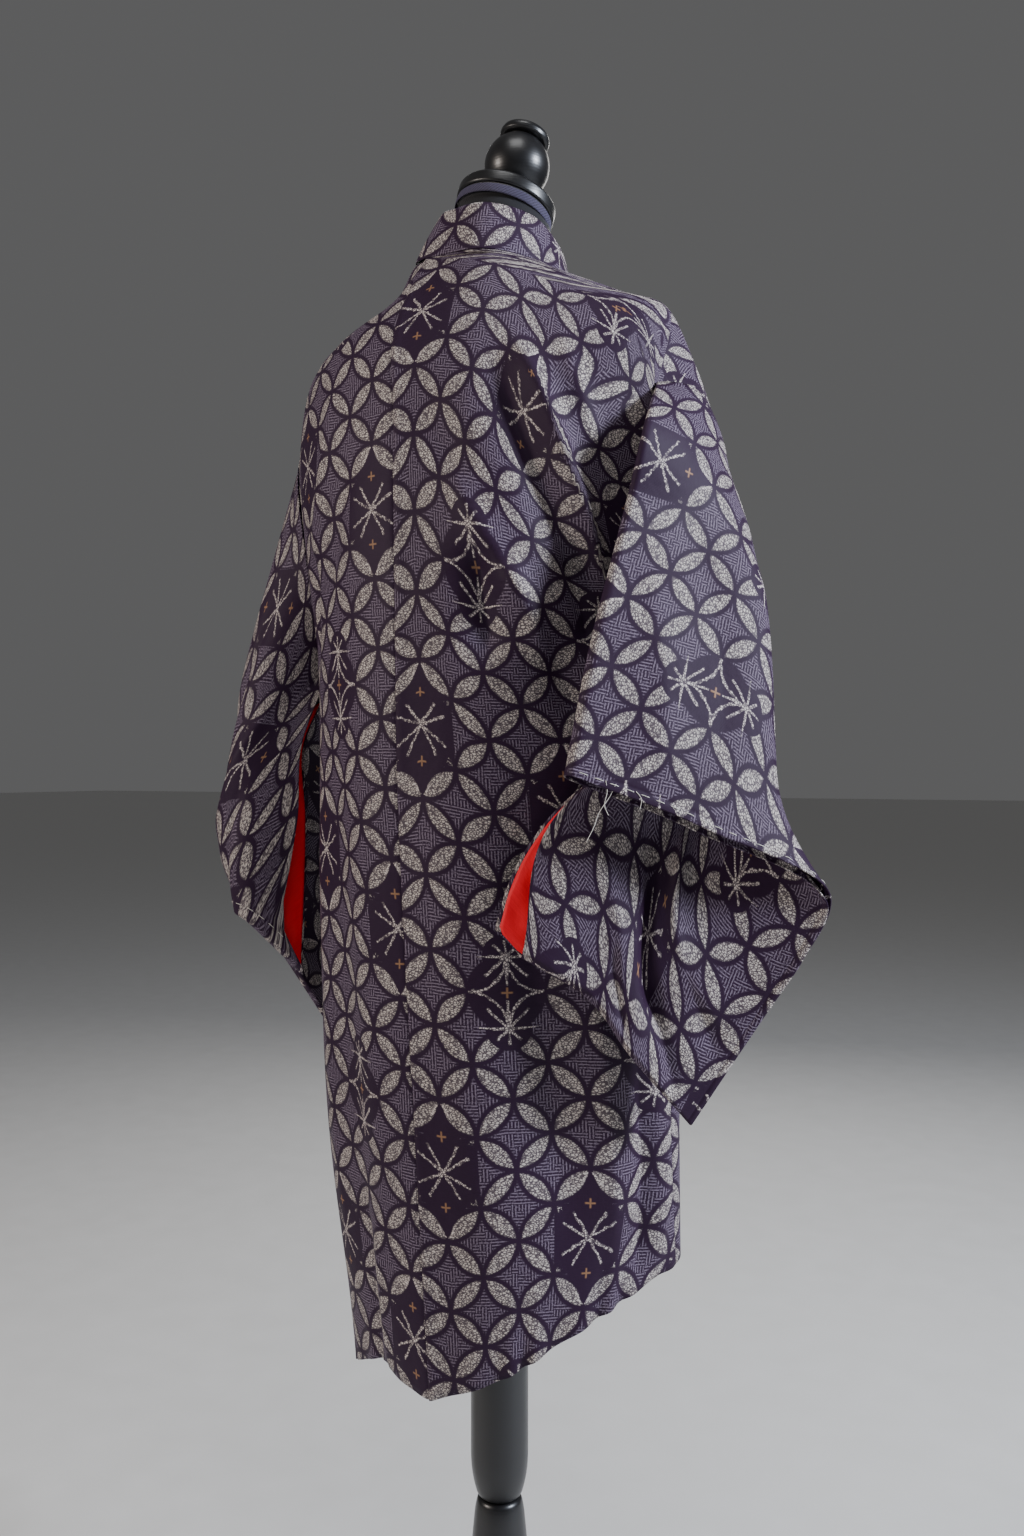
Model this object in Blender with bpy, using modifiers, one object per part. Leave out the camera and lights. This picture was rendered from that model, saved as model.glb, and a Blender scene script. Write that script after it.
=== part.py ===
"""A haori jacket hanging on a limbless dress form with a turned pole and finial."""

import math

import bpy
import numpy as np

# Points are (right, back, up) in cm: the wearer's right, the wearer's back, height above the floor.
WALL = 0.16  # body and sleeve cloth
BAND = 0.30  # collar, two layers of cloth
LINING = 0.10
SEAM = 0.03  # gap between pieces laid or turned flat on each other
BACK_SEAM = 0.08  # gap along the centre back seam, where the halves meet at a slight angle
BENT_SEAM = 0.16  # gap between pieces that meet at an angle
COLLAR_SEAM = 0.30  # gap along the collar, which stands up from the body
SIDES = 36

# Rows of the body from the back hem over the shoulder to the front hem. Columns: the seam or front edge,
# inner, middle, outer, then the side seam or armhole. The last column is the collar's free edge.
RIGHT_ROWS = {
    "back_hem": [(-0.3, 12.8, 45.5), (6, 11.8, 48.2), (12.2, 8.3, 52.5), (16, 4.3, 55.2), (17.8, 0.5, 56.2)],
    "back_thigh": [(-1, 14.2, 70), (6, 13.2, 70), (12.2, 9.4, 70.4), (16.1, 6, 70.8), (17.9, 2.2, 71)],
    "back_hip": [(-1.6, 14.8, 85), (5.9, 14, 85), (12.4, 9.8, 85), (16.2, 6, 85.3), (17.9, 2.2, 85.5)],
    "back_waist": [(-2.1, 15.2, 100), (5.6, 14.3, 100), (12.3, 9.8, 100), (16.3, 5.8, 100), (18, 2, 100)],
    "back_armpit": [(-2.2, 15.3, 110), (5.3, 14.5, 110), (12, 10.3, 110), (16.3, 5.8, 109.8), (18.5, 1.6, 109.5)],
    "back_blade": [(-2.4, 15.2, 120), (5, 14.6, 120), (11, 11.6, 119.6), (15, 7.4, 118.8), (17.6, 4, 117.5)],
    "back_yoke": [(-3, 14.3, 130), (4.5, 13.8, 130.5), (10, 11.3, 129.8), (14.3, 7.9, 128), (17.2, 4.8, 126)],
    "back_top": [(-4.2, 11.5, 140), (3, 11, 140.2), (9, 9, 139), (14.2, 7.2, 136.3), (17.3, 5.1, 131)],
    "nape": [(-4, 7.2, 146.5), (2.8, 8.6, 144.6), (9.3, 6.6, 142), (15, 5.8, 138.8), (17.3, 5, 132)],
    "neck_back": [(2.2, 7.9, 146), (5.6, 6.4, 145), (10.6, 4.8, 142.6), (16, 4.3, 139.7), (17.3, 4.8, 132.5)],
    "neck_side": [(5.4, 4.5, 145.8), (7.9, 3.3, 144.7), (12.2, 2.7, 142.4), (16.8, 2.8, 140), (17.3, 4.6, 132.8)],
    "ridge": [(6.2, -0.5, 145.6), (9.6, 0.3, 144.3), (13.6, 0.5, 142.4), (17.2, 0.6, 140.2), (17.4, 4.3, 133)],
    "front_top": [(6.1, -5.2, 140.8), (10.2, -4.9, 140), (14.6, -4.2, 138.6), (18.6, -2.4, 136), (19.7, 1.4, 132.9)],
    "front_chest": [(6.4, -9.4, 133), (10.4, -9.4, 132.5), (15, -8.4, 131.5), (19, -6, 130), (20.9, -3.4, 128.5)],
    "front_bust": [(7, -12, 121), (11, -11.4, 120.5), (15.2, -9.8, 120), (18.3, -7.6, 119.5), (19.6, -5.2, 119)],
    "front_armpit": [(7.4, -12.2, 109), (11, -11.2, 109), (14.8, -9, 109.2), (17.6, -5, 109.3), (18.5, -0.6, 109.5)],
    "front_hip": [(7.5, -12.2, 85), (10.8, -11.2, 85), (14, -9, 85.3), (16.2, -5.8, 85.5), (17, -2, 85.6)],
    "front_hem": [(7.4, -11.6, 55.5), (9.8, -10.7, 56), (12.2, -8.7, 56.3), (14.2, -6.6, 56.5), (15.6, -4.4, 56.6)],
}
LEFT_ROWS = {
    "back_hem": [(-0.3, 12.8, 45.5), (-3.6, 11.6, 45.9), (-7.1, 9.2, 46), (-12, 5.6, 43.5), (-15.5, 1.1, 41)],
    "back_thigh": [(-1, 14.2, 70), (-6, 13, 69.5), (-11, 9.8, 68.8), (-15.3, 6.3, 68), (-17.2, 2.3, 67.5)],
    "back_hip": [(-1.6, 14.8, 85), (-6.8, 13.6, 85), (-12, 10, 85), (-16, 6.3, 85), (-17.8, 2.4, 85)],
    "back_waist": [(-2.1, 15.2, 100), (-7.3, 13.9, 100), (-12.6, 10.2, 100), (-16.2, 6.3, 100), (-17.9, 2.5, 100)],
    "back_armpit": [(-2.2, 15.3, 110), (-7.5, 14, 110), (-12.8, 10.4, 110), (-16.6, 6, 109.8), (-18.6, 2, 109.5)],
    "back_blade": [(-2.4, 15.2, 120), (-7.7, 14, 120), (-13, 10.8, 120), (-17, 7.2, 120), (-18.8, 4.6, 120)],
    "back_yoke": [(-3, 14.3, 130), (-8.2, 13, 130.5), (-13.5, 10.3, 131), (-17.8, 7, 130), (-19.8, 4.8, 128)],
    "back_top": [(-4.2, 11.5, 140), (-8.8, 10, 140.3), (-13.8, 8, 139), (-18.2, 5.4, 136.6), (-20.5, 3.2, 131.6)],
    "nape": [(-4, 7.2, 146.5), (-8, 6.6, 142.7), (-13, 5.4, 141.2), (-18.4, 3.6, 139), (-20.7, 2.4, 132.8)],
    "neck_back": [(-5.6, 6, 146.9), (-8.9, 4.9, 143.5), (-13.8, 4, 142), (-18.9, 2.7, 139.7), (-20.8, 2, 133.2)],
    "neck_side": [(-6.6, 4, 147.3), (-9.8, 3.2, 144.4), (-14.5, 2.6, 142.6), (-19.3, 1.8, 140.2), (-20.8, 1.7, 133.4)],
    "ridge": [(-6.8, 1.5, 147.8), (-10.7, 1.5, 145), (-15.2, 1.2, 142.8), (-19.6, 0.8, 140.4), (-20.9, 1.4, 133.5)],
    "front_top": [(-6.4, -4.5, 143), (-10.5, -4.3, 141.6), (-15.2, -3.6, 140), (-19.7, -2, 137.4), (-21.2, 0.2, 132.9)],
    "front_chest": [(-6.5, -9.2, 134), (-10.6, -9.2, 133), (-15, -8, 132.5), (-19.2, -5.2, 131), (-20.9, -2.3, 128.5)],
    "front_bust": [(-7, -12, 121), (-11, -11.4, 120.5), (-15, -9.8, 120.3), (-18.3, -6.8, 120), (-19.7, -3.4, 119.8)],
    "front_armpit": [(-7.2, -12.2, 109), (-11, -11.2, 109), (-14.8, -9, 109.2), (-17.8, -4.6, 109.4), (-18.6, -0.2, 109.5)],
    "front_hip": [(-7.2, -12.2, 85), (-10.8, -11.2, 85), (-14, -9, 85), (-16.7, -5.8, 85), (-17.7, -1.8, 85)],
    "front_hem": [(-6.6, -11.4, 46), (-9.6, -10.6, 45), (-12.6, -8.8, 43.5), (-14.6, -6.4, 42.2), (-15.4, -3.8, 41.4)],
}
# The collar's free edge at each row from the nape on.
COLLAR_EDGE = {
    "right": {
        "nape": (-2.7, 5.7, 151.2),
        "neck_back": (1.9, 6.3, 150.9),
        "neck_side": (5, 3.2, 150.3),
        "ridge": (5.5, -1.5, 149.2),
        "front_top": (3.9, -6.2, 144.2),
        "front_chest": (2.6, -10.2, 135),
        "front_bust": (2.4, -12.9, 121.8),
        "front_armpit": (2.6, -13.2, 109.2),
        "front_hip": (2.7, -13.1, 85),
        "front_hem": (2.9, -12.6, 55.4),
    },
    "left": {
        "nape": (-2.7, 5.7, 151.2),
        "neck_back": (-3.9, 3.9, 152),
        "neck_side": (-4.8, 2.2, 152.6),
        "ridge": (-5.3, 0.2, 152.9),
        "front_top": (-4.4, -5.6, 146.6),
        "front_chest": (-2.7, -10, 136.2),
        "front_bust": (-2.4, -12.9, 122),
        "front_armpit": (-2.4, -13.2, 109.2),
        "front_hip": (-2.4, -13.1, 85),
        "front_hem": (-2.1, -12.3, 46.2),
    },
}
ROW_STEPS = {
    "back_hem": 4, "back_thigh": 2, "back_hip": 2, "back_waist": 2, "back_armpit": 2, "back_blade": 2,
    "back_yoke": 2, "back_top": 2, "nape": 2, "neck_back": 2, "neck_side": 2, "ridge": 2,
    "front_top": 2, "front_chest": 2, "front_bust": 2, "front_armpit": 4, "front_hip": 4, "front_hem": 0,
}
BODY_COLUMN_STEPS = 3

# Middle surface of each hanging sleeve. Rows run from the armhole edge to the cuff edge, columns from the
# upper fold to the lower fold: fold, arm, armpit, turn, hang, foot.
SLEEVE_MIDDLE = {
    "right": [
        [(17.6, 4.5, 133.1), (19, 0, 121), (19, 0.6, 109.3), (19.3, 7.6, 103.8), (12.3, 12.4, 97), (9.6, 15, 84.7)],
        [(18.3, 9.3, 128.6), (22.2, 0.2, 119.6), (20.5, 1.2, 107.8), (20.3, 6.4, 102.2), (14.6, 11.2, 95.6), (11.4, 14.2, 83.6)],
        [(17, 10.4, 121.8), (24.4, 1.7, 117), (21.4, 2.7, 105), (20.3, 5.2, 99.2), (17.6, 8.6, 92.9), (14, 12.2, 81.5)],
        [(15.4, 14.1, 110.2), (25.8, 5.4, 105.8), (24.6, 3.6, 97), (22, 5.6, 91.5), (19.6, 7.8, 85.5), (17.6, 10.8, 76.5)],
        [(14.3, 16.9, 99.4), (23.2, 10.6, 95.1), (31.8, 3.5, 88.9), (29.8, 3.8, 84.5), (26.7, 4.4, 79.7), (21, 6.5, 70.5)],
    ],
    "left": [
        [(-20.9, 1.4, 133.5), (-19.8, 0.8, 121), (-18.6, 0.9, 109.5), (-19.9, 3.7, 102.8), (-19.3, 4.1, 95), (-19.7, 4.4, 79.5)],
        [(-24.5, 0.5, 123), (-24.8, 4.5, 112.5), (-24.5, 7, 103), (-24.7, 7.8, 98.3), (-24.8, 8.3, 93.5), (-24.3, 8, 85.5)],
        [(-26.8, -3, 113.5), (-27.6, 0, 105), (-27.4, 2, 97), (-27.9, 2.6, 93.5), (-28.2, 3, 90), (-26.6, 0.5, 82.5)],
        [(-28.5, -14, 106), (-26, -18.5, 98), (-24.5, -18, 90), (-24.5, -16, 86), (-24.3, -12.5, 80.5), (-22.5, -4.5, 72.5)],
    ],
}
# Distance between the two layers at the same rows and columns.
SLEEVE_GAP = {
    "right": [
        [0.7, 3, 1.2, 1.1, 1.8, 1.3],
        [0.8, 2.2, 0.9, 1.1, 1.6, 1.3],
        [0.9, 1.6, 0.9, 1.2, 1.4, 1.2],
        [1.2, 1.4, 0.9, 1.1, 1.3, 1],
        [1.6, 1.6, 0.44, 0.44, 0.44, 0.44],
    ],
    "left": [
        [0.5, 3, 2.2, 2.4, 2.8, 1.6],
        [1.2, 1.8, 1.8, 1.8, 1.8, 1.3],
        [1.4, 1.6, 1.5, 1.5, 1.4, 1],
        [1.6, 1.7, 1, 0.6, 0.6, 0.6],
    ],
}
SLEEVE_KNOTS = [0, 0.25, 0.5, 0.62, 0.75, 1]
SLEEVE_ROWS = {"right": [0, 0.13, 0.33, 0.66, 1], "left": [0, 0.33, 0.66, 1]}
# Which way the front layer lies from the middle surface's normal.
FRONT_LAYER = {"right": 1, "left": -1}
ARMPIT = 0.5  # share of the sleeve's depth that is sewn to the body
SLEEVE_ACROSS = [0, 0.003, 0.012, 0.05, 0.1, 0.15, 0.2, 0.25, 0.3, 0.35, 0.4, 0.45, 0.5, 0.55,
                 0.6, 0.66, 0.72, 0.78, 0.84, 0.9, 0.95, 0.988, 0.997, 1]
SLEEVE_ALONG = [0, 0.05, 0.11, 0.18, 0.26, 0.34, 0.43, 0.52, 0.61, 0.7, 0.78, 0.86, 0.93, 1]
SLEEVE_DEPTH = 52
# How far the lower inner edge of one layer is drawn back, and its share at places down the sleeve.
EDGE_DRAW = {"right": ("front", (-2.3, 1.15, 0)), "left": ("back", (-2.0, 1.0, 0))}
DRAW_PLACES = {"right": [0, 0.72, 0.8, 0.9, 0.955, 1], "left": [0, 0.6, 0.75, 0.88, 0.93, 0.988]}
DRAW_SHARES = {"right": [0, 0, 0.25, 0.8, 1, 0], "left": [0, 0, 0.45, 1, 0.9, 0]}
LINING_ROWS = 5  # rows of the sleeve from its open inner edge that show their lining
LINING_FROM = 0.55

# Dress form: height, half width, depth behind and in front.
TORSO_RINGS = [
    (75, 13.2, 9.2, 8.4), (75.6, 14.9, 10.6, 9.6), (79, 16.0, 11.6, 10.3), (84, 16.4, 12.0, 10.6),
    (90, 16.3, 11.9, 10.5), (96, 15.6, 11.2, 10.1), (101, 14.0, 10.1, 9.5), (106, 12.8, 9.2, 9.1),
    (112, 13.3, 9.5, 9.9), (118, 14.4, 10.3, 10.7), (123, 15.2, 10.8, 10.8), (128, 15.7, 10.7, 10.0),
    (133, 15.6, 9.4, 8.3), (137, 14.6, 7.6, 6.4), (140, 12.4, 6.3, 5.4), (142.2, 9.2, 5.6, 4.8),
    (144, 6.7, 5.2, 4.5), (146, 5.4, 4.9, 4.3), (148, 4.9, 4.7, 4.3),
]
NECK_RADIUS = 4.5
CAP_CENTRE = np.array([-0.43, -0.19, 152.87])  # world axes, cm
CAP_AXIS = np.array([-0.16, -0.237, 0.958])
# Turned profiles: radius, height, from the bottom up.
BASE_PROFILE = [(0, 0), (18.6, 0), (19, 0.4), (19, 1.5), (18.6, 2.0), (17.2, 2.5), (13, 3.2), (8, 3.8), (0, 3.8)]
LOWER_POLE_PROFILE = [(0, 3.83), (6.2, 3.83), (6.6, 4.3), (6.2, 4.9), (5.2, 6.2), (4.2, 9), (3.5, 13), (3.0, 18),
                      (2.75, 23), (2.6, 27), (2.35, 29.6), (2.06, 31), (0, 31)]
UPPER_POLE_PROFILE = [(0, 31.03), (2.06, 31.03), (2.45, 32.4), (2.66, 33.6), (2.73, 34.8), (2.73, 55), (2.73, 74.97),
                      (0, 74.97)]
CAP_PROFILE = [(0, 0), (4.6, 0), (4.74, 0.15), (4.74, 1.0), (4.6, 1.22), (4.3, 1.3), (3.1, 1.32), (2.95, 1.42),
               (2.9, 1.75), (2.7, 1.9), (0, 1.9)]
BALL_RADIUS = 3.11
BALL_HEIGHT = 4.78
KNOB_PROFILE = [(2.15, 7.4), (2.38, 7.55), (2.42, 7.9), (2.3, 8.22), (1.9, 8.42), (0, 8.5)]

COLOURS = {
    "silk": ((0.045, 0.022, 0.038), 0.6),
    "red_lining": ((0.72, 0.012, 0.028), 0.6),
    "velvet": ((0.012, 0.012, 0.015), 0.9),
    "black_wood": ((0.008, 0.008, 0.01), 0.35),
}

for old in list(bpy.data.objects):
    bpy.data.objects.remove(old)
collection = bpy.data.collections.new("haori_on_form")
bpy.context.scene.collection.children.link(collection)
materials = {}
for slot, (colour, roughness) in COLOURS.items():
    materials[slot] = bpy.data.materials.new(slot)
    materials[slot].use_nodes = True
    shader = materials[slot].node_tree.nodes["Principled BSDF"]
    shader.inputs["Base Color"].default_value = (*colour, 1)
    shader.inputs["Roughness"].default_value = roughness


def add_object(name, points, faces, slot, wall=0):
    """Adds a mesh given in world centimetres; a wall turns a sheet into a closed shell about it."""
    mesh = bpy.data.meshes.new(name)
    mesh.from_pydata([tuple(0.01 * p) for p in points], [], faces)
    mesh.materials.append(materials[slot])
    obj = bpy.data.objects.new(name, mesh)
    collection.objects.link(obj)
    if wall:
        solid = obj.modifiers.new("wall", "SOLIDIFY")
        solid.thickness = 0.01 * wall
        solid.offset = 0


def world(points):
    """(right, back, up) to world axes."""
    return np.asarray(points, float).reshape(-1, 3) * (-1, 1, 1)


def grid_faces(rows, columns, closed=False):
    """Quads of a grid of points, joined round along its columns when closed."""
    faces = []
    for i in range(rows - 1):
        for j in range(columns if closed else columns - 1):
            k = (j + 1) % columns
            faces.append((i * columns + j, i * columns + k, (i + 1) * columns + k, (i + 1) * columns + j))
    return faces


def add_sheet(name, grid, slot, wall, closed=False):
    add_object(name, world(grid), grid_faces(grid.shape[0], grid.shape[1], closed), slot, wall)


def add_stacked(name, rings, slot):
    """Adds a closed solid of rings stacked upwards; a ring of one point closes an end, and so does a face."""
    points = np.concatenate(rings)
    faces = []
    start = 0
    for low, high in zip(rings, rings[1:]):
        top = start + len(low)
        for j in range(SIDES):
            k = (j + 1) % SIDES
            if len(low) == 1:
                faces.append((start, top + k, top + j))
            elif len(high) == 1:
                faces.append((start + j, start + k, top))
            else:
                faces.append((start + j, start + k, top + k, top + j))
        start = top
    if len(rings[0]) > 1:
        faces.append(tuple(reversed(range(SIDES))))
    if len(rings[-1]) > 1:
        faces.append(tuple(range(start, start + SIDES)))
    add_object(name, points, faces, slot)


def frame_of(axis):
    """Two unit vectors across the axis."""
    axis = axis / np.linalg.norm(axis)
    across = np.cross((0, 1, 0), axis)
    across /= np.linalg.norm(across)
    return across, np.cross(axis, across), axis


def turned_rings(profile, centre=(0, 0, 0), axis=(0, 0, 1)):
    """Rings of a profile of (radius, height) turned about the axis."""
    across, along, up = frame_of(np.asarray(axis, float))
    angles = np.arange(SIDES) * 2 * math.pi / SIDES
    rings = []
    for radius, height in profile:
        middle = np.asarray(centre, float) + height * up
        if radius == 0:
            rings.append(middle[None])
        else:
            rings.append(middle + radius * (np.outer(np.cos(angles), across) + np.outer(np.sin(angles), along)))
    return rings


def spline(knots, samples, corners=()):
    """Weights of a cubic through the knots at each sample, with a sharp turn at each corner."""
    count = len(knots)
    steps = np.diff(knots)
    secants = np.zeros((count - 1, count))
    for i in range(count - 1):
        secants[i, i] = -1 / steps[i]
        secants[i, i + 1] = 1 / steps[i]
    before = np.zeros((count, count))
    after = np.zeros((count, count))
    for i in range(count):
        first = secants[max(i - 1, 0)]
        second = secants[min(i, count - 2)]
        if i in corners or i in (0, count - 1):
            before[i], after[i] = first, second
        else:
            share = steps[i - 1] / (steps[i - 1] + steps[i])
            before[i] = after[i] = (1 - share) * first + share * second
    weights = np.zeros((len(samples), count))
    for row, sample in zip(weights, samples):
        i = min(int(np.searchsorted(knots, sample, "right")) - 1, count - 2)
        t = (sample - knots[i]) / steps[i]
        row[i] += 2 * t**3 - 3 * t**2 + 1
        row[i + 1] += 3 * t**2 - 2 * t**3
        row += (t**3 - 2 * t**2 + t) * steps[i] * after[i] + (t**3 - t**2) * steps[i] * before[i + 1]
    return weights


def knots_of(net, axis):
    """Mean length along one axis of a net of points."""
    steps = np.linalg.norm(np.diff(net, axis=axis), axis=2).mean(1 - axis)
    return np.concatenate([[0], np.cumsum(steps)])


def unit(vectors):
    return vectors / np.linalg.norm(vectors, axis=-1, keepdims=True)


def resample(line, count):
    """The line at equal steps of its length."""
    length = np.concatenate([[0], np.cumsum(np.linalg.norm(np.diff(line, axis=0), axis=1))])
    wanted = np.linspace(0, length[-1], count)
    return np.stack([np.interp(wanted, length, line[:, k]) for k in range(3)], 1)


def body_grid(rows):
    """The body half as a grid, with the row of each named row in it."""
    names = list(rows)
    net = np.array([rows[name] for name in names], float)
    knots = knots_of(net, 0)
    samples = []
    index = {}
    for i, name in enumerate(names):
        index[name] = len(samples)
        if i < len(names) - 1:
            samples.extend(np.linspace(knots[i], knots[i + 1], ROW_STEPS[name], endpoint=False))
    samples.append(knots[-1])
    corners = [()] * net.shape[1]
    corners[0] = (names.index("nape"),)
    corners[-1] = (names.index("back_armpit"), names.index("front_armpit"))
    lines = [spline(knots, samples, corners[j]) @ net[:, j] for j in range(net.shape[1])]
    lines = np.stack(lines, 1)
    across = knots_of(net, 1)
    columns = np.linspace(0, across[-1], BODY_COLUMN_STEPS * (net.shape[1] - 1) + 1)
    return np.einsum("ck,rkx->rcx", spline(across, columns), lines), index, (knots, samples)


def pulled_in(grid, inner, outer):
    """The grid with its first and last column moved into it by the two gaps."""
    moved = grid.copy()
    moved[:, 0] += inner[:, None] * unit(grid[:, 1] - grid[:, 0])
    moved[:, -1] += outer * unit(grid[:, -2] - grid[:, -1])
    return moved


def collar_half(side, grid, index, spacing):
    """Seam edge and free edge of the collar beside one body half, from the nape to the front hem."""
    knots, samples = spacing
    first = index["nape"]
    names = list(RIGHT_ROWS)
    start = names.index("nape")
    edge = np.array([COLLAR_EDGE[side][name] for name in names[start:]], float)
    free = spline(knots[start:], samples[first:]) @ edge
    seam = grid[first:, 0]
    return seam + COLLAR_SEAM / 2 * unit(free - seam), free


def add_body():
    """Adds the two body halves, the gussets and the collar, and returns each half's grid and rows."""
    halves = {}
    collar = {}
    for side, rows in (("right", RIGHT_ROWS), ("left", LEFT_ROWS)):
        grid, index, spacing = body_grid(rows)
        halves[side] = grid, index
        inner = np.full(len(grid), COLLAR_SEAM / 2)
        inner[: index["nape"]] = BACK_SEAM / 2
        add_sheet(f"body_{side}", pulled_in(grid, inner, BENT_SEAM / 2), "silk", WALL)
        collar[side] = collar_half(side, grid, index, spacing)
        back = resample(grid[: index["back_armpit"] + 1, -1][::-1], 14)
        front = resample(grid[index["front_armpit"]:, -1], 14)
        out = np.cross(front - back, (0, 0, 1)) * (1 if side == "right" else -1)
        shares = np.array([0, 1, 2, 3]) / 3
        gusset = back[:, None] + shares[:, None] * (front - back)[:, None]
        gusset -= 0.1 * (4 * shares * (1 - shares))[:, None] * out[:, None]
        gusset[:, 0] += BENT_SEAM / 2 * unit(gusset[:, 1] - gusset[:, 0])
        gusset[:, -1] += BENT_SEAM / 2 * unit(gusset[:, -2] - gusset[:, -1])
        add_sheet(f"gusset_{side}", gusset[1:], "silk", WALL)
    seam = np.concatenate([collar["right"][0][::-1], collar["left"][0][1:]])
    free = np.concatenate([collar["right"][1][::-1], collar["left"][1][1:]])
    shares = np.array([0, 1, 2, 3]) / 3
    add_sheet("collar", seam[:, None] + shares[:, None] * (free - seam)[:, None], "silk", BAND)
    return halves


def armhole_line(side, grid, index, layer):
    """The body's armhole edge from the upper fold to the armpit, moved out so that the sleeve laps over it."""
    across = grid[:, -1] - grid[:, -2]
    outward = unit(np.cross(np.gradient(grid[:, -1], axis=0), across)) * (1 if side == "right" else -1)
    edge = grid[:, -1] + (WALL + 0.1) * outward + SEAM * unit(across)
    if layer == "back":
        return edge[index["back_armpit"] : index["ridge"] + 1][::-1]
    return edge[index["ridge"] : index["front_armpit"] + 1]


def fold_height(distance, gap):
    """Half the distance between the layers, rounded off at a fold this far away."""
    radius = np.maximum(gap / 2, 1e-6)
    return radius * np.sqrt(1 - (1 - np.clip(distance / radius, 0, 1)) ** 2)


def sleeve_ring(side, grid, index):
    """Rows of points round the flattened tube of a sleeve: down its front layer and up its back layer."""
    net = np.array(SLEEVE_MIDDLE[side], float)
    gaps = np.array(SLEEVE_GAP[side], float)
    along = np.array(SLEEVE_ALONG)
    across = np.array(SLEEVE_ACROSS)
    down = spline(SLEEVE_ROWS[side], along)
    over = spline(SLEEVE_KNOTS, across)
    middle = np.einsum("sr,wc,rcx->swx", down, over, net)
    gap = np.einsum("sr,wc,rc->sw", down, over, gaps)
    slope = np.cross(np.gradient(middle, across, axis=1), np.gradient(middle, along, axis=0))
    half = fold_height(SLEEVE_DEPTH * np.minimum(across, 1 - across), gap)[..., None]
    normal = half * unit(slope) * FRONT_LAYER[side]
    layers = {"front": middle + normal, "back": middle - normal}
    fade = np.clip(1 - along / 0.36, 0, 1)[:, None, None] ** 2
    below = np.clip(1 - (across - ARMPIT) / 0.1, 0, 1)[:, None] ** 2
    for name, layer in layers.items():
        line = armhole_line(side, grid, index, name)
        length = np.concatenate([[0], np.cumsum(np.linalg.norm(np.diff(line, axis=0), axis=1))])
        wanted = np.clip(across / ARMPIT, 0, 1) * length[-1]
        target = np.stack([np.interp(wanted, length, line[:, k]) for k in range(3)], 1)
        layers[name] = layer + fade * (target - layer[0]) * below
    drawn, shift = EDGE_DRAW[side]
    pull = np.interp(across, DRAW_PLACES[side], DRAW_SHARES[side])[:, None] * np.array(shift)
    layers[drawn] = layers[drawn] + np.clip(1 - along / 0.3, 0, 1)[:, None, None] ** 2 * pull
    return np.concatenate([layers["front"], layers["back"][:, -2:0:-1]], 1)


def steps_sum(grid, axis):
    """At each point, the sum of the unit steps to it and from it along one axis."""
    steps = unit(np.diff(grid, axis=axis))
    ends = [(1, 0), (0, 0), (0, 0)] if axis == 0 else [(0, 0), (1, 0), (0, 0)]
    before = np.pad(steps, ends)
    after = np.pad(steps, [end[::-1] for end in ends])
    return before + after


def add_sleeve(side, grid, index):
    """Adds one sleeve as a flattened tube round the armhole, and its lining at the open inner edge."""
    ring = sleeve_ring(side, grid, index)
    add_sheet(f"sleeve_{side}", ring, "silk", WALL, closed=True)
    first = int(np.searchsorted(SLEEVE_ACROSS, LINING_FROM))
    strip = ring[:LINING_ROWS, first : 2 * len(SLEEVE_ACROSS) - 1 - first]
    outward = unit(np.cross(steps_sum(strip, 0), steps_sum(strip, 1))) * -FRONT_LAYER[side]
    add_sheet(f"lining_{side}", strip - (WALL / 2 + 2 * SEAM + LINING / 2) * outward, "red_lining", LINING)


def torso_rings():
    """Egg-shaped rings up the form, then round ones that lean with the neck to the cap."""
    angles = np.arange(SIDES) * 2 * math.pi / SIDES
    rings = []
    for height, half, back, front in TORSO_RINGS:
        depth = np.where(np.sin(angles) > 0, back, front)
        rings.append(np.stack([half * np.cos(angles), depth * np.sin(angles), np.full(SIDES, height)], 1))
    for lift, share in ((149.6, 0.35), (151.2, 0.7)):
        centre = np.array([CAP_CENTRE[0] * share, CAP_CENTRE[1] * share, lift])
        axis = (1 - share) * np.array([0, 0, 1]) + share * CAP_AXIS
        rings += turned_rings([(NECK_RADIUS + 0.15 * (1 - share), 0)], centre, axis)
    return rings + turned_rings([(NECK_RADIUS, -SEAM)], CAP_CENTRE, CAP_AXIS)


add_stacked("base", turned_rings(BASE_PROFILE), "black_wood")
add_stacked("pole_lower", turned_rings(LOWER_POLE_PROFILE), "black_wood")
add_stacked("pole_upper", turned_rings(UPPER_POLE_PROFILE), "black_wood")
add_stacked("torso", torso_rings(), "velvet")
add_stacked("neck_cap", turned_rings(CAP_PROFILE, CAP_CENTRE, CAP_AXIS), "black_wood")
ball = [(BALL_RADIUS * math.cos(a), BALL_HEIGHT + BALL_RADIUS * math.sin(a)) for a in np.linspace(-1.05, 0.98, 9)]
finial_profile = [(0, 1.93), (1.5, 1.93)] + ball + KNOB_PROFILE
add_stacked("finial", turned_rings(finial_profile, CAP_CENTRE, CAP_AXIS), "black_wood")
body_halves = add_body()
for sleeve_side in ("right", "left"):
    add_sleeve(sleeve_side, *body_halves[sleeve_side])
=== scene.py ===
import math

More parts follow.
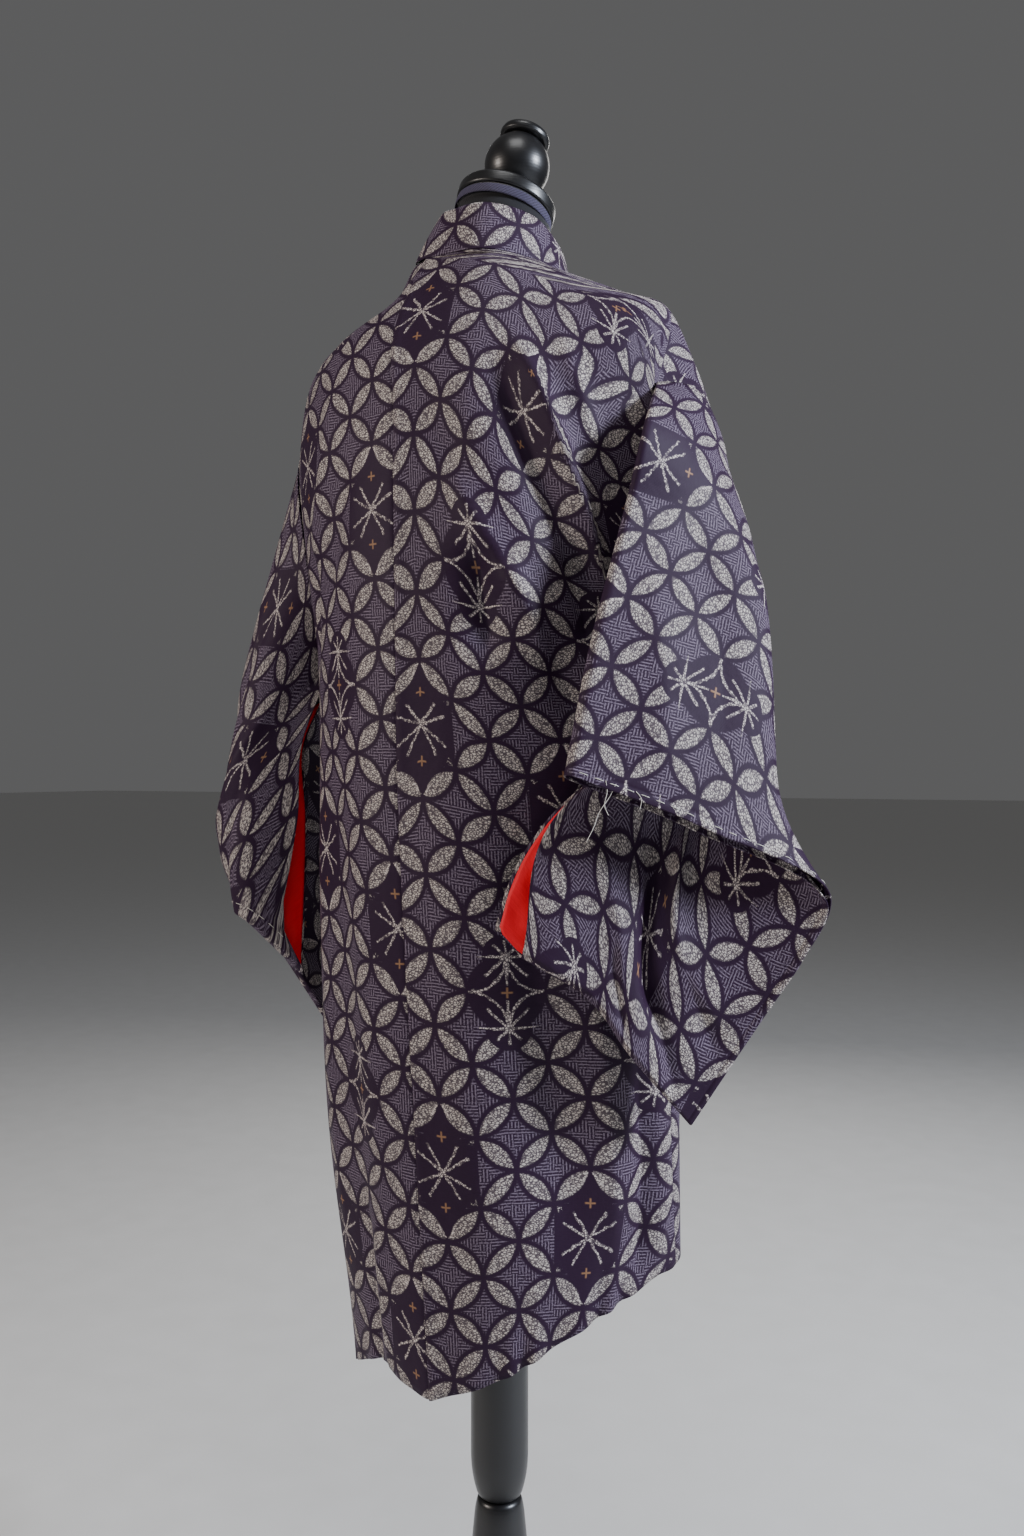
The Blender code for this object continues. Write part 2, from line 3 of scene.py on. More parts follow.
import bpy
import numpy as np
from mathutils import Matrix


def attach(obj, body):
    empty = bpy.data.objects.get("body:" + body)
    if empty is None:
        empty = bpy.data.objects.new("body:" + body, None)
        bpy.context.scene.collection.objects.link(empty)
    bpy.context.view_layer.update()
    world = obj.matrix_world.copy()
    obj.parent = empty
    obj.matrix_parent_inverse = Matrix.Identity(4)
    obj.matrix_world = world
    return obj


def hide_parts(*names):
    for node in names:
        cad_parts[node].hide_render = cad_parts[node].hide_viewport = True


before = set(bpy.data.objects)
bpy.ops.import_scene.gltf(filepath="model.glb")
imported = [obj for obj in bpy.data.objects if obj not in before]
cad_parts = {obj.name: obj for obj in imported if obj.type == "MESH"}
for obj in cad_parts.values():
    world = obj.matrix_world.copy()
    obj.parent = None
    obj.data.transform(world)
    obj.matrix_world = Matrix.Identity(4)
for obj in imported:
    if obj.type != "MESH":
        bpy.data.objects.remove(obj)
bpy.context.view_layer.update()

# Camera, floor and light.
# A level camera behind the wearer's right shoulder, a pale floor, and soft studio panels.
scene = bpy.context.scene
CAMERA_TURN = math.radians(207)
camera_data = bpy.data.cameras.new("camera")
camera_data.lens = 29.06
camera_data.shift_x = 0.0078
camera = bpy.data.objects.new("camera", camera_data)
camera.location = (-0.536, 1.051, 1.0)
camera.rotation_euler = (math.radians(90), 0, CAMERA_TURN)
scene.collection.objects.link(camera)
scene.camera = camera


def add_area(name, place, target, size, power, colour):
    """Adds a square soft light that faces the target."""
    data = bpy.data.lights.new(name, "AREA")
    data.size = size
    data.energy = power
    data.color = colour
    light = bpy.data.objects.new(name, data)
    scene.collection.objects.link(light)
    light.location = place
    way = np.array(target, float) - place
    flat = math.hypot(way[0], way[1])
    light.rotation_euler = (math.atan2(flat, -way[2]), 0, math.atan2(way[1], way[0]) - math.pi / 2)


add_area("key_right", (-2.6, -0.2, 2.1), (0, 0, 1.0), 0.6, 138, (0.80, 0.87, 1))
add_area("fill_left", (1.9, 2.1, 1.8), (0, 0, 1.1), 0.7, 44, (1, 0.90, 0.82))
add_area("front_soft", (0.6, -2.4, 2.2), (0, 0, 1.0), 1.6, 26, (1, 0.98, 0.95))
add_area("top_soft", (-0.4, 0.9, 3.2), (0, 0, 1.0), 1.0, 18, (1, 1, 1))
world = bpy.data.worlds.new("studio")
scene.world = world
world.use_nodes = True
world.node_tree.nodes["Background"].inputs["Color"].default_value = (0.86, 0.86, 0.87, 1)
world.node_tree.nodes["Background"].inputs["Strength"].default_value = 0.13


class Value:
    """A number or vector output in a shader, with arithmetic that adds maths nodes."""

    def __init__(self, tree, socket):
        self.tree = tree
        self.socket = socket

    def node(self, kind, output=0, inputs=(), **settings):
        """Adds any node, sets and links its inputs by name or number, and gives one of its outputs."""
        made = self.tree.nodes.new(kind)
        for name, value in settings.items():
            setattr(made, name, value)
        for name, value in dict(inputs).items():
            self.put(made.inputs[name], value)
        return Value(self.tree, made.outputs[output])

    def put(self, socket, value):
        if isinstance(value, Value):
            self.tree.links.new(value.socket, socket)
        else:
            socket.default_value = value

    def maths(self, operation, *others, clamp=False):
        terms = enumerate((self, *others))
        return self.node("ShaderNodeMath", inputs=terms, operation=operation, use_clamp=clamp)

    def __add__(self, other):
        return self.maths("ADD", other)

    def __sub__(self, other):
        return self.maths("SUBTRACT", other)

    def __rsub__(self, other):
        return self.node("ShaderNodeMath", inputs={0: other, 1: self}, operation="SUBTRACT")

    def __mul__(self, other):
        return self.maths("MULTIPLY", other)

    def __truediv__(self, other):
        return self.maths("DIVIDE", other)

    __radd__ = __add__
    __rmul__ = __mul__

    def absolute(self):
        return self.maths("ABSOLUTE")

    def fraction(self):
        return self.maths("FRACT")

    def floor(self):
        return self.maths("FLOOR")

    def nearest(self):
        return self.maths("ROUND")

    def root(self):
        return self.maths("SQRT")

    def least(self, other):
        return self.maths("MINIMUM", other)

    def most(self, other):
        return self.maths("MAXIMUM", other)

    def above(self, edge, soft=0.03):
        """0 below the edge and 1 above it, with a soft step."""
        return ((self - (edge - soft / 2)) / soft).maths("ADD", 0.0, clamp=True)

    def below(self, edge, soft=0.03):
        return 1 - self.above(edge, soft)

    def mix(self, low, high):
        """A colour between two, by this share."""
        first, second = (end if isinstance(end, Value) else (*end, 1) for end in (low, high))
        return self.node("ShaderNodeMix", 2, {"Factor": self, 6: first, 7: second}, data_type="RGBA")

    def noise(self, vector, scale, detail=2.0, roughness=0.5):
        inputs = {"Vector": vector, "Scale": scale, "Detail": detail, "Roughness": roughness}
        return self.node("ShaderNodeTexNoise", inputs=inputs)


def srgb(red, green, blue):
    """A screen colour, 0 to 255, as a linear colour."""
    return tuple((v / 255 / 12.92) if v < 10 else ((v / 255 + 0.055) / 1.055) ** 2.4 for v in (red, green, blue))


def new_material(name):
    """A material with its Principled shader, and a starting value for its maths."""
    material = bpy.data.materials.new(name)
    material.use_nodes = True
    tree = material.node_tree
    shader = tree.nodes["Principled BSDF"]
    return material, shader, Value(tree, shader.outputs[0])


def set_bump(value, shader, height, strength, distance):
    inputs = {"Height": height, "Strength": strength, "Distance": distance}
    value.put(shader.inputs["Normal"], value.node("ShaderNodeBump", inputs=inputs))


def object_place(value):
    """The point in the object's own axes, metres."""
    return value.node("ShaderNodeTexCoord", "Object")


FLOOR_HALF = 40  # metres, half the side of the floor
floor_material, shader, value = new_material("pale_floor")
grain = value.noise(object_place(value), 14, 5)
value.put(shader.inputs["Base Color"], grain.mix(srgb(214, 213, 210), srgb(224, 223, 221)))
value.put(shader.inputs["Roughness"], 0.5 + grain * 0.2)
floor_mesh = bpy.data.meshes.new("floor")
corners = [(-FLOOR_HALF, -FLOOR_HALF, 0), (FLOOR_HALF, -FLOOR_HALF, 0), (FLOOR_HALF, FLOOR_HALF, 0),
           (-FLOOR_HALF, FLOOR_HALF, 0)]
floor_mesh.from_pydata(corners, [], [(0, 1, 2, 3)])
floor_mesh.materials.append(floor_material)
floor = bpy.data.objects.new("floor", floor_mesh)
floor.location.z = -0.0005
scene.collection.objects.link(floor)


# Stand: round foot, two pole pieces, cap and finial.
# Turned wood in satin black, with fine turning rings. Each piece sits on the next.
TURNED_SIDES = 96
# The cap and finial lean with the neck: the middle of the cap's underside, cm, and their axis.
CAP_CENTRE = np.array([-0.43, -0.19, 152.87])
CAP_AXIS = np.array([-0.16, -0.237, 0.958])


def add_piece(name, points, faces, material, slot, node=None, uv=None, wall=0.0):
    """Adds a mesh given in world centimetres. uv holds one pair for each corner of each face."""
    mesh = bpy.data.meshes.new(name)
    mesh.from_pydata([tuple(0.01 * p) for p in points], [], faces)
    mesh.polygons.foreach_set("use_smooth", [True] * len(mesh.polygons))
    mesh.materials.append(material)
    if uv is not None:
        layer = mesh.uv_layers.new(name="cloth")
        layer.data.foreach_set("uv", np.asarray(uv, np.float32).ravel())
    obj = bpy.data.objects.new(name, mesh)
    scene.collection.objects.link(obj)
    if wall:
        solid = obj.modifiers.new("wall", "SOLIDIFY")
        solid.thickness = 0.01 * wall
        solid.offset = 0
    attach(obj, "root")
    if node:
        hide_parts(node)
    return obj


def unit(vectors):
    return vectors / np.linalg.norm(vectors, axis=-1, keepdims=True)


def turned_rings(profile, centre=(0, 0, 0), axis=(0, 0, 1)):
    """Rings of a profile of (radius, height) turned about the axis."""
    up = unit(np.asarray(axis, float))
    across = unit(np.cross((0, 1, 0), up))
    along = np.cross(up, across)
    angles = np.arange(TURNED_SIDES) * 2 * math.pi / TURNED_SIDES
    turn = np.outer(np.cos(angles), across) + np.outer(np.sin(angles), along)
    return [np.asarray(centre, float) + height * up + radius * turn for radius, height in profile]


def grid_faces(rows, columns, closed=False):
    """Quads of a grid of points, joined round along its columns when closed."""
    faces = []
    for i in range(rows - 1):
        for j in range(columns if closed else columns - 1):
            k = (j + 1) % columns
            faces.append((i * columns + j, i * columns + k, (i + 1) * columns + k, (i + 1) * columns + j))
    return faces


def stacked(rings):
    """Points and faces of a closed solid of rings stacked upwards."""
    sides, count = len(rings[0]), len(rings) * len(rings[0])
    low, high = tuple(reversed(range(sides))), tuple(range(count - sides, count))
    return np.concatenate(rings), [low, *grid_faces(len(rings), sides, True), high]


def rounded(profile, size):
    """The profile with each corner cut into an arc of three steps, starting up to this far from it."""
    points = [np.array(p, float) for p in profile]
    out = [points[0]]
    for before, corner, after in zip(points, points[1:], points[2:]):
        into = unit(before - corner) * min(size, 0.4 * np.linalg.norm(before - corner))
        away = unit(after - corner) * min(size, 0.4 * np.linalg.norm(after - corner))
        for t in np.linspace(0, 1, 4):
            out.append(corner + (1 - t) ** 2 * into + t**2 * away)
    return out + [points[-1]]


wood, shader, value = new_material("satin_black_wood")
place = object_place(value)
split = value.node("ShaderNodeSeparateXYZ", "Z", {"Vector": place})
rings = (split * 2600 + value.noise(place, 30, 3) * 3).maths("SINE")
stain = value.noise(place, 55, 6, 0.65)
value.put(shader.inputs["Base Color"], stain.mix(srgb(6, 6, 8), srgb(20, 19, 22)))
value.put(shader.inputs["Roughness"], 0.30 + stain * 0.16 + rings * 0.02)
shader.inputs["Coat Weight"].default_value = 0.25
shader.inputs["Coat Roughness"].default_value = 0.25
set_bump(value, shader, rings * 0.3 + value.noise(place, 240, 4), 0.08, 0.0004)

# Profiles as (radius, height), cm; those of the cap and finial start at the cap's underside.
BASE = [(0.01, 0), (18.6, 0), (19, 0.4), (19, 1.5), (18.6, 2.0), (17.2, 2.5), (13, 3.2), (8, 3.8), (0.01, 3.8)]
LOWER_POLE = [(0.01, 3.83), (6.2, 3.83), (6.6, 4.3), (6.2, 4.9), (5.2, 6.2), (4.2, 9), (3.5, 13), (3.0, 18),
              (2.75, 23), (2.6, 27), (2.35, 29.6), (2.06, 31), (0.01, 31)]
UPPER_POLE = [(0.01, 31.03), (2.06, 31.03), (2.45, 32.4), (2.66, 33.6), (2.73, 34.8), (2.73, 55), (2.73, 74.97),
              (0.01, 74.97)]
CAP = [(0.01, 0), (4.6, 0), (4.74, 0.15), (4.74, 1.0), (4.6, 1.22), (4.3, 1.3), (3.1, 1.32), (2.95, 1.42),
       (2.9, 1.75), (2.7, 1.9), (0.01, 1.9)]
BALL_RADIUS, BALL_HEIGHT = 3.11, 4.78
BALL = [(BALL_RADIUS * math.cos(a), BALL_HEIGHT + BALL_RADIUS * math.sin(a)) for a in np.linspace(-1.05, 0.98, 28)]
FINIAL = [(0.01, 1.93), (1.5, 1.93), *BALL, (2.15, 7.4), (2.38, 7.55), (2.42, 7.9), (2.3, 8.22), (1.9, 8.42),
          (0.01, 8.5)]
for name, profile in (("base", BASE), ("pole_lower", LOWER_POLE), ("pole_upper", UPPER_POLE)):
    add_piece(f"{name}_turned", *stacked(turned_rings(rounded(profile, 0.5))), wood, "black_wood", name)
for name, profile in (("neck_cap", CAP), ("finial", FINIAL)):
    rings = turned_rings(rounded(profile, 0.08), CAP_CENTRE, CAP_AXIS)
    add_piece(f"{name}_turned", *stacked(rings), wood, "black_wood", name)


# Torso: limbless form under the cloth.
# Black cotton velvet glued over a padded shell, with a short soft pile.
# Height, half width, depth behind the pole and depth before it, cm.
TORSO_RINGS = [
    (75, 13.2, 9.2, 8.4), (75.6, 14.9, 10.6, 9.6), (79, 16.0, 11.6, 10.3), (84, 16.4, 12.0, 10.6),
    (90, 16.3, 11.9, 10.5), (96, 15.6, 11.2, 10.1), (101, 14.0, 10.1, 9.5), (106, 12.8, 9.2, 9.1),
    (112, 13.3, 9.5, 9.9), (118, 14.4, 10.3, 10.7), (123, 15.2, 10.8, 10.8), (128, 15.7, 10.7, 10.0),
    (133, 15.6, 9.4, 8.3), (137, 14.6, 7.6, 6.4), (140, 12.4, 6.3, 5.4), (142.2, 9.2, 5.6, 4.8),
    (144, 6.7, 5.2, 4.5), (146, 5.4, 4.9, 4.3), (148, 4.9, 4.7, 4.3),
]
NECK_RADIUS = 4.5


def spline(knots, samples, corners=()):
    """Weights of a cubic through the knots at each sample, with a sharp turn at each corner."""
    count = len(knots)
    steps = np.diff(knots)
    secants = (np.eye(count)[1:] - np.eye(count)[:-1]) / steps[:, None]
    before = np.zeros((count, count))
    after = np.zeros((count, count))
    for i in range(count):
        first = secants[max(i - 1, 0)]
        second = secants[min(i, count - 2)]
        if i in corners or i in (0, count - 1):
            before[i], after[i] = first, second
        else:
            share = steps[i - 1] / (steps[i - 1] + steps[i])
            before[i] = after[i] = (1 - share) * first + share * second
    samples = np.asarray(samples, float)
    place = np.clip(np.searchsorted(knots, samples, "right") - 1, 0, count - 2)
    t = ((samples - np.asarray(knots)[place]) / steps[place])[:, None]
    step = steps[place][:, None]
    ends = np.eye(count)
    weights = (2 * t**3 - 3 * t**2 + 1) * ends[place] + (3 * t**2 - 2 * t**3) * ends[place + 1]
    return weights + (t**3 - 2 * t**2 + t) * step * after[place] + (t**3 - t**2) * step * before[place + 1]


velvet, shader, value = new_material("black_velvet")
pile = value.noise(object_place(value), 900, 4, 0.7)
nap = value.noise(object_place(value), 24, 4)
value.put(shader.inputs["Base Color"], (pile * 0.5 + nap * 0.5).mix(srgb(12, 12, 15), srgb(34, 32, 37)))
value.put(shader.inputs["Roughness"], 0.82 + pile * 0.15)
shader.inputs["Sheen Weight"].default_value = 0.35
shader.inputs["Sheen Roughness"].default_value = 0.35
set_bump(value, shader, pile, 0.35, 0.0008)

table = np.array(TORSO_RINGS)
levels = np.unique(np.concatenate([table[:, 0], np.arange(75.6, 148, 0.8)]))
angles = np.arange(TURNED_SIDES) * 2 * math.pi / TURNED_SIDES
rings = []
for height, half, back, front in spline(table[:, 0], levels) @ table:
    depth = np.where(np.sin(angles) > 0, back, front)
    rings.append(np.stack([half * np.cos(angles), depth * np.sin(angles), np.full(TURNED_SIDES, height)], 1))
# The neck tilts by steps into the cap's axis.
for lift, share in ((149.6, 0.35), (151.2, 0.7)):
    centre = np.array([CAP_CENTRE[0] * share, CAP_CENTRE[1] * share, lift])
    axis = (1 - share) * np.array([0, 0, 1]) + share * CAP_AXIS
    rings += turned_rings([(NECK_RADIUS + 0.15 * (1 - share), 0)], centre, axis)
rings += turned_rings([(NECK_RADIUS, -0.03)], CAP_CENTRE, CAP_AXIS)
add_piece("torso_velvet", *stacked(rings), velvet, "velvet", "torso")


# Neck tape: flat woven trim round the top of the neck.
# Grey-purple braid, sewn on under the cap.
def cloth_place(value):
    """The place on a cloth, and its two parts, across and along."""
    spot = value.node("ShaderNodeTexCoord", "UV")
    return spot, *(value.node("ShaderNodeSeparateXYZ", axis, {"Vector": spot}) for axis in "XY")


tape, shader, value = new_material("woven_tape")
_, across, up = cloth_place(value)
twill = ((across + up) * 62).fraction().above(0.5, 0.3)
ribs = ((across - up) * 31).fraction().above(0.5, 0.3)
value.put(shader.inputs["Base Color"], (twill * 0.6 + ribs * 0.4).mix(srgb(34, 29, 46), srgb(84, 78, 106)))
value.put(shader.inputs["Roughness"], 0.7 + twill * 0.15)
set_bump(value, shader, twill + ribs * 0.5, 0.6, 0.0006)


def add_cloth(name, grid, uv, material, slot, node=None, wall=0.1, closed=False):
    """Adds a sheet of cloth from a grid of (right, back, up) points; a closed one has one more uv column."""
    rows, columns = grid.shape[:2]
    corners = []
    for i in range(rows - 1):
        for j in range(columns if closed else columns - 1):
            corners += [uv[i, j], uv[i, j + 1], uv[i + 1, j + 1], uv[i + 1, j]]
    points = (grid * (-1, 1, 1)).reshape(-1, 3)
    return add_piece(name, points, grid_faces(rows, columns, closed), material, slot, node, corners, wall)


TAPE_LOW, TAPE_HIGH = -1.05, -0.22  # cm from the cap's underside
rows = []
for height in np.linspace(TAPE_LOW, TAPE_HIGH, 7):
    swell = 0.10 + 0.04 * math.cos((height + 0.63) / 0.42 * math.pi / 2)
    rows += turned_rings([(NECK_RADIUS + swell, height)], CAP_CENTRE, CAP_AXIS)
rows = np.stack(rows) * (-1, 1, 1)
spots = np.stack(np.meshgrid(np.linspace(0, 28.3, TURNED_SIDES + 1), np.linspace(0, 0.83, 7)), -1) / 10
add_cloth("neck_tape", rows, spots, tape, "velvet", wall=0.08, closed=True)


# Jacket cloth: figured silk.
# A repeat of interlocking circles with charted star and cross figures, woven pale on an aubergine ground.
UNIT = 3.0  # cm, radius of one circle of the pattern; the sizes below are in such radii
REPEAT = 12  # from one figure to the next down a column
RAGGED = 0.14  # how far the drawn lines wander
DIAGONAL, HALF_DIAGONAL = 1.41421, 0.7071  # of a square of side 1
HATCH_CELL = 0.18  # side of a square of the hatching, which holds two lines
GROUND = srgb(33, 16, 36), srgb(50, 28, 55)
HATCHING, PETALS = srgb(150, 136, 154), srgb(212, 202, 194)
DRAWING, CROSSES = srgb(224, 212, 206), srgb(158, 118, 86)


def distance(across, down):
    return (across * across + down * down).root()


def star(across, down, reach, thick):
    """Crossed arms at thirty and about fifty-eight degrees."""
    arms = (across * 0.5 - down * 0.866).absolute().least((across * 0.85 - down * 0.527).absolute())
    return arms.below(thick) * distance(across, down).below(reach, 0.04)


def cross(across, down, reach, thick):
    return across.least(down).below(thick) * across.most(down).below(reach, 0.04)


def stretched(x, y, across, down):
    """The place on the cloth, scaled each way."""
    return x.node("ShaderNodeCombineXYZ", inputs={"X": x * across, "Y": y * down})


def from_cell_edge(place):
    inputs = {"Vector": place, "Scale": 1.0}
    return place.node("ShaderNodeTexVoronoi", "Distance", inputs, feature="DISTANCE_TO_EDGE")


def charted_silk():
    """The woven pattern, from uv in circle radii, with x across the cloth and y down it."""
    material, shader, value = new_material("figured_silk")
    spot, x, y = cloth_place(value)
    wander = (value.noise(spot, 1.3, 2) - 0.5) * 0.05
    x, y = x + wander, y + wander

    # Petals lie where two circles overlap; the concave diamonds between them are hatched.
    a = (((x + y) * 0.5).fraction() - 0.5).absolute()
    b = (((x - y) * 0.5).fraction() - 0.5).absolute()
    beside = ((1 - a) * (1 - a) + b * b).least(a * a + (1 - b) * (1 - b)).root()
    inside = 1 - beside * DIAGONAL
    petal = inside.above(0.085, 0.05)
    diamond = inside.below(-0.055, 0.05)

    # Each column of figures is set half a repeat from the next.
    column = (x / 2).nearest()
    odd = column - (column / 2).floor() * 2
    fall = y - (column + odd * (REPEAT / 2))
    side = (x - column * 2).absolute()
    drop = (fall - (fall / REPEAT).nearest() * REPEAT).absolute()
    from_middle = distance(side, drop)
    from_next = (drop - 1).absolute()
    side_line = (side + (value.noise(spot, 3.2, 2) - 0.5) * RAGGED).absolute()
    drop_line = (drop + (value.noise(spot, 7.5, 1) - 0.5) * RAGGED).absolute()
    ragged = (value.noise(spot, 14, 1) - 0.5) * 0.45

    # Even columns: one star on plain ground, with a chevron above and below it.
    above_star = (side + drop).below(2) * drop.above(1, 0.01) * inside.below(0.0, 0.02)
    plain_even = (from_middle + ragged).below(1.2, 0.04).most(above_star)
    chevron = (side_line - (2 - drop) * 0.55).absolute().below(0.036)
    chevron = chevron * drop.above(1.52) * drop.below(1.88)
    lines_even = star(side_line, drop_line, 0.88, 0.033).most(chevron)
    cross_even = cross(side, from_next, 0.14, 0.025)

    # Odd columns: two bursts of arms that meet in arcs, with a cross between them.
    from_node = distance(side, from_next)
    plain_odd = (from_middle + ragged * 0.5).below(1).most(from_node.below(0.62, 0.02))
    reach = 0.45 + drop.below(1, 0.02) * 0.33
    arcs = (distance(1 - side_line, 1 - drop_line) - 1).absolute().below(0.034)
    slanted = (side_line - from_next).absolute() * HALF_DIAGONAL
    arms = side_line.least(from_next).least(slanted).below(0.034)
    arms = arms * (reach - from_node).above(0, 0.04)
    lines_odd = (arcs * from_middle.below(1, 0.02)).most(arms)
    cross_odd = cross(side, drop, 0.15, 0.027)

    open_ground = 1 - (plain_even + (plain_odd - plain_even) * odd)
    lines = lines_even + (lines_odd - lines_even) * odd
    crosses = cross_even + (cross_odd - cross_even) * odd

    # Hatching like a maze in the diamonds, and close short ticks of weft in the petals.
    cell = {"X": (x / HATCH_CELL).floor(), "Y": (y / HATCH_CELL).floor()}
    cell = value.node("ShaderNodeCombineXYZ", inputs=cell)
    way = value.node("ShaderNodeTexWhiteNoise", "Value", {"Vector": cell}).above(0.5, 0.01)
    ups = ((x / (HATCH_CELL / 2)).fraction() - 0.5).absolute()
    acrosses = ((y / (HATCH_CELL / 2)).fraction() - 0.5).absolute()
    broken = value.noise(stretched(x, y, 18, 18), 1.0, 2)
    hatch = (ups + (acrosses - ups) * way).below(0.19, 0.1) * (0.25 + broken.above(0.42, 0.16) * 0.75)
    hatch = hatch.most(broken.above(0.58, 0.08) * 0.45)
    tick = from_cell_edge(stretched(x, y, 11, 18)).above(0.15, 0.14)
    pebble = from_cell_edge(stretched(x, y, 14, 14)).above(0.13, 0.12)
    threads = ((x * 26).fraction() - 0.5).absolute() + ((y * 30).fraction() - 0.5).absolute()
    fibre = value.noise(stretched(x, y, 4, 60), 1.0, 3)
    worn = value.noise(object_place(value), 9, 4, 0.6)
    crumple = value.noise(object_place(value), 30, 3, 0.55)

    figure = petal * open_ground * (0.12 + tick * 0.88) * (0.72 + worn * 0.4)
    fill = diamond * open_ground * hatch
    drawn = lines * (0.1 + pebble * 0.9)
    colour = fibre.mix(*GROUND)
    layers = (fill * 0.62, HATCHING), (figure, PETALS), (drawn * 0.95, DRAWING), (crosses * 0.85, CROSSES)
    for share, thread in layers:
        colour = share.mix(colour, thread)
    value.put(shader.inputs["Base Color"], colour)
    raised = figure.most(drawn).most(crosses)
    value.put(shader.inputs["Roughness"], 0.55 - raised * 0.14 + worn * 0.1)
    shader.inputs["Specular IOR Level"].default_value = 0.18
    weave = raised * 0.6 + threads * 0.3 + fibre * 0.3 + fill * 0.3
    set_bump(value, shader, weave + crumple * 5, 0.4, 0.0007)
    return material


silk = charted_silk()


# Body: two widths of the silk, from the back hem over the shoulder to the front hem.
# They are joined by the middle back seam, hang open in front, and rest on the shoulders and the back.
# Rows are named by their place; the columns run from the seam or front edge to the side seam or armhole.
RIGHT_ROWS = {
    "back_hem": [(-0.3, 12.8, 45.5), (6, 11.8, 48.2), (12.2, 8.3, 52.5), (16, 4.3, 55.2), (17.8, 0.5, 56.2)],
    "back_thigh": [(-1, 14.2, 70), (6, 13.2, 70), (12.2, 9.4, 70.4), (16.1, 6, 70.8), (17.9, 2.2, 71)],
    "back_hip": [(-1.6, 14.8, 85), (5.9, 14, 85), (12.4, 9.8, 85), (16.2, 6, 85.3), (17.9, 2.2, 85.5)],
    "back_waist": [(-2.1, 15.2, 100), (5.6, 14.3, 100), (12.3, 9.8, 100), (16.3, 5.8, 100), (18, 2, 100)],
    "back_armpit": [(-2.2, 15.3, 110), (5.3, 14.5, 110), (12, 10.3, 110), (16.3, 5.8, 109.8), (18.5, 1.6, 109.5)],
    "back_blade": [(-2.4, 15.2, 120), (5, 14.6, 120), (11, 11.6, 119.6), (15, 7.4, 118.8), (17.6, 4, 117.5)],
    "back_yoke": [(-3, 14.3, 130), (4.5, 13.8, 130.5), (10, 11.3, 129.8), (14.3, 7.9, 128), (17.2, 4.8, 126)],
    "back_top": [(-4.2, 11.5, 140), (3, 11, 140.2), (9, 9, 139), (14.2, 7.2, 136.3), (17.3, 5.1, 131)],
    "nape": [(-4, 7.2, 146.5), (2.8, 8.6, 144.6), (9.3, 6.6, 142), (15, 5.8, 138.8), (17.3, 5, 132)],
    "neck_back": [(2.2, 7.9, 146), (5.6, 6.4, 145), (10.6, 4.8, 142.6), (16, 4.3, 139.7), (17.3, 4.8, 132.5)],
    "neck_side": [(5.4, 4.5, 145.8), (7.9, 3.3, 144.7), (12.2, 2.7, 142.4), (16.8, 2.8, 140), (17.3, 4.6, 132.8)],
    "ridge": [(6.2, -0.5, 145.6), (9.6, 0.3, 144.3), (13.6, 0.5, 142.4), (17.2, 0.6, 140.2), (17.4, 4.3, 133)],
    "front_top": [(6.1, -5.2, 140.8), (10.2, -4.9, 140), (14.6, -4.2, 138.6), (18.6, -2.4, 136), (19.7, 1.4, 132.9)],
    "front_chest": [(6.4, -9.4, 133), (10.4, -9.4, 132.5), (15, -8.4, 131.5), (19, -6, 130), (20.9, -3.4, 128.5)],
    "front_bust": [(7, -12, 121), (11, -11.4, 120.5), (15.2, -9.8, 120), (18.3, -7.6, 119.5), (19.6, -5.2, 119)],
    "front_armpit": [(7.4, -12.2, 109), (11, -11.2, 109), (14.8, -9, 109.2), (17.6, -5, 109.3), (18.5, -0.6, 109.5)],
    "front_hip": [(7.5, -12.2, 85), (10.8, -11.2, 85), (14, -9, 85.3), (16.2, -5.8, 85.5), (17, -2, 85.6)],
    "front_hem": [(7.4, -11.6, 55.5), (9.8, -10.7, 56), (12.2, -8.7, 56.3), (14.2, -6.6, 56.5), (15.6, -4.4, 56.6)],
}
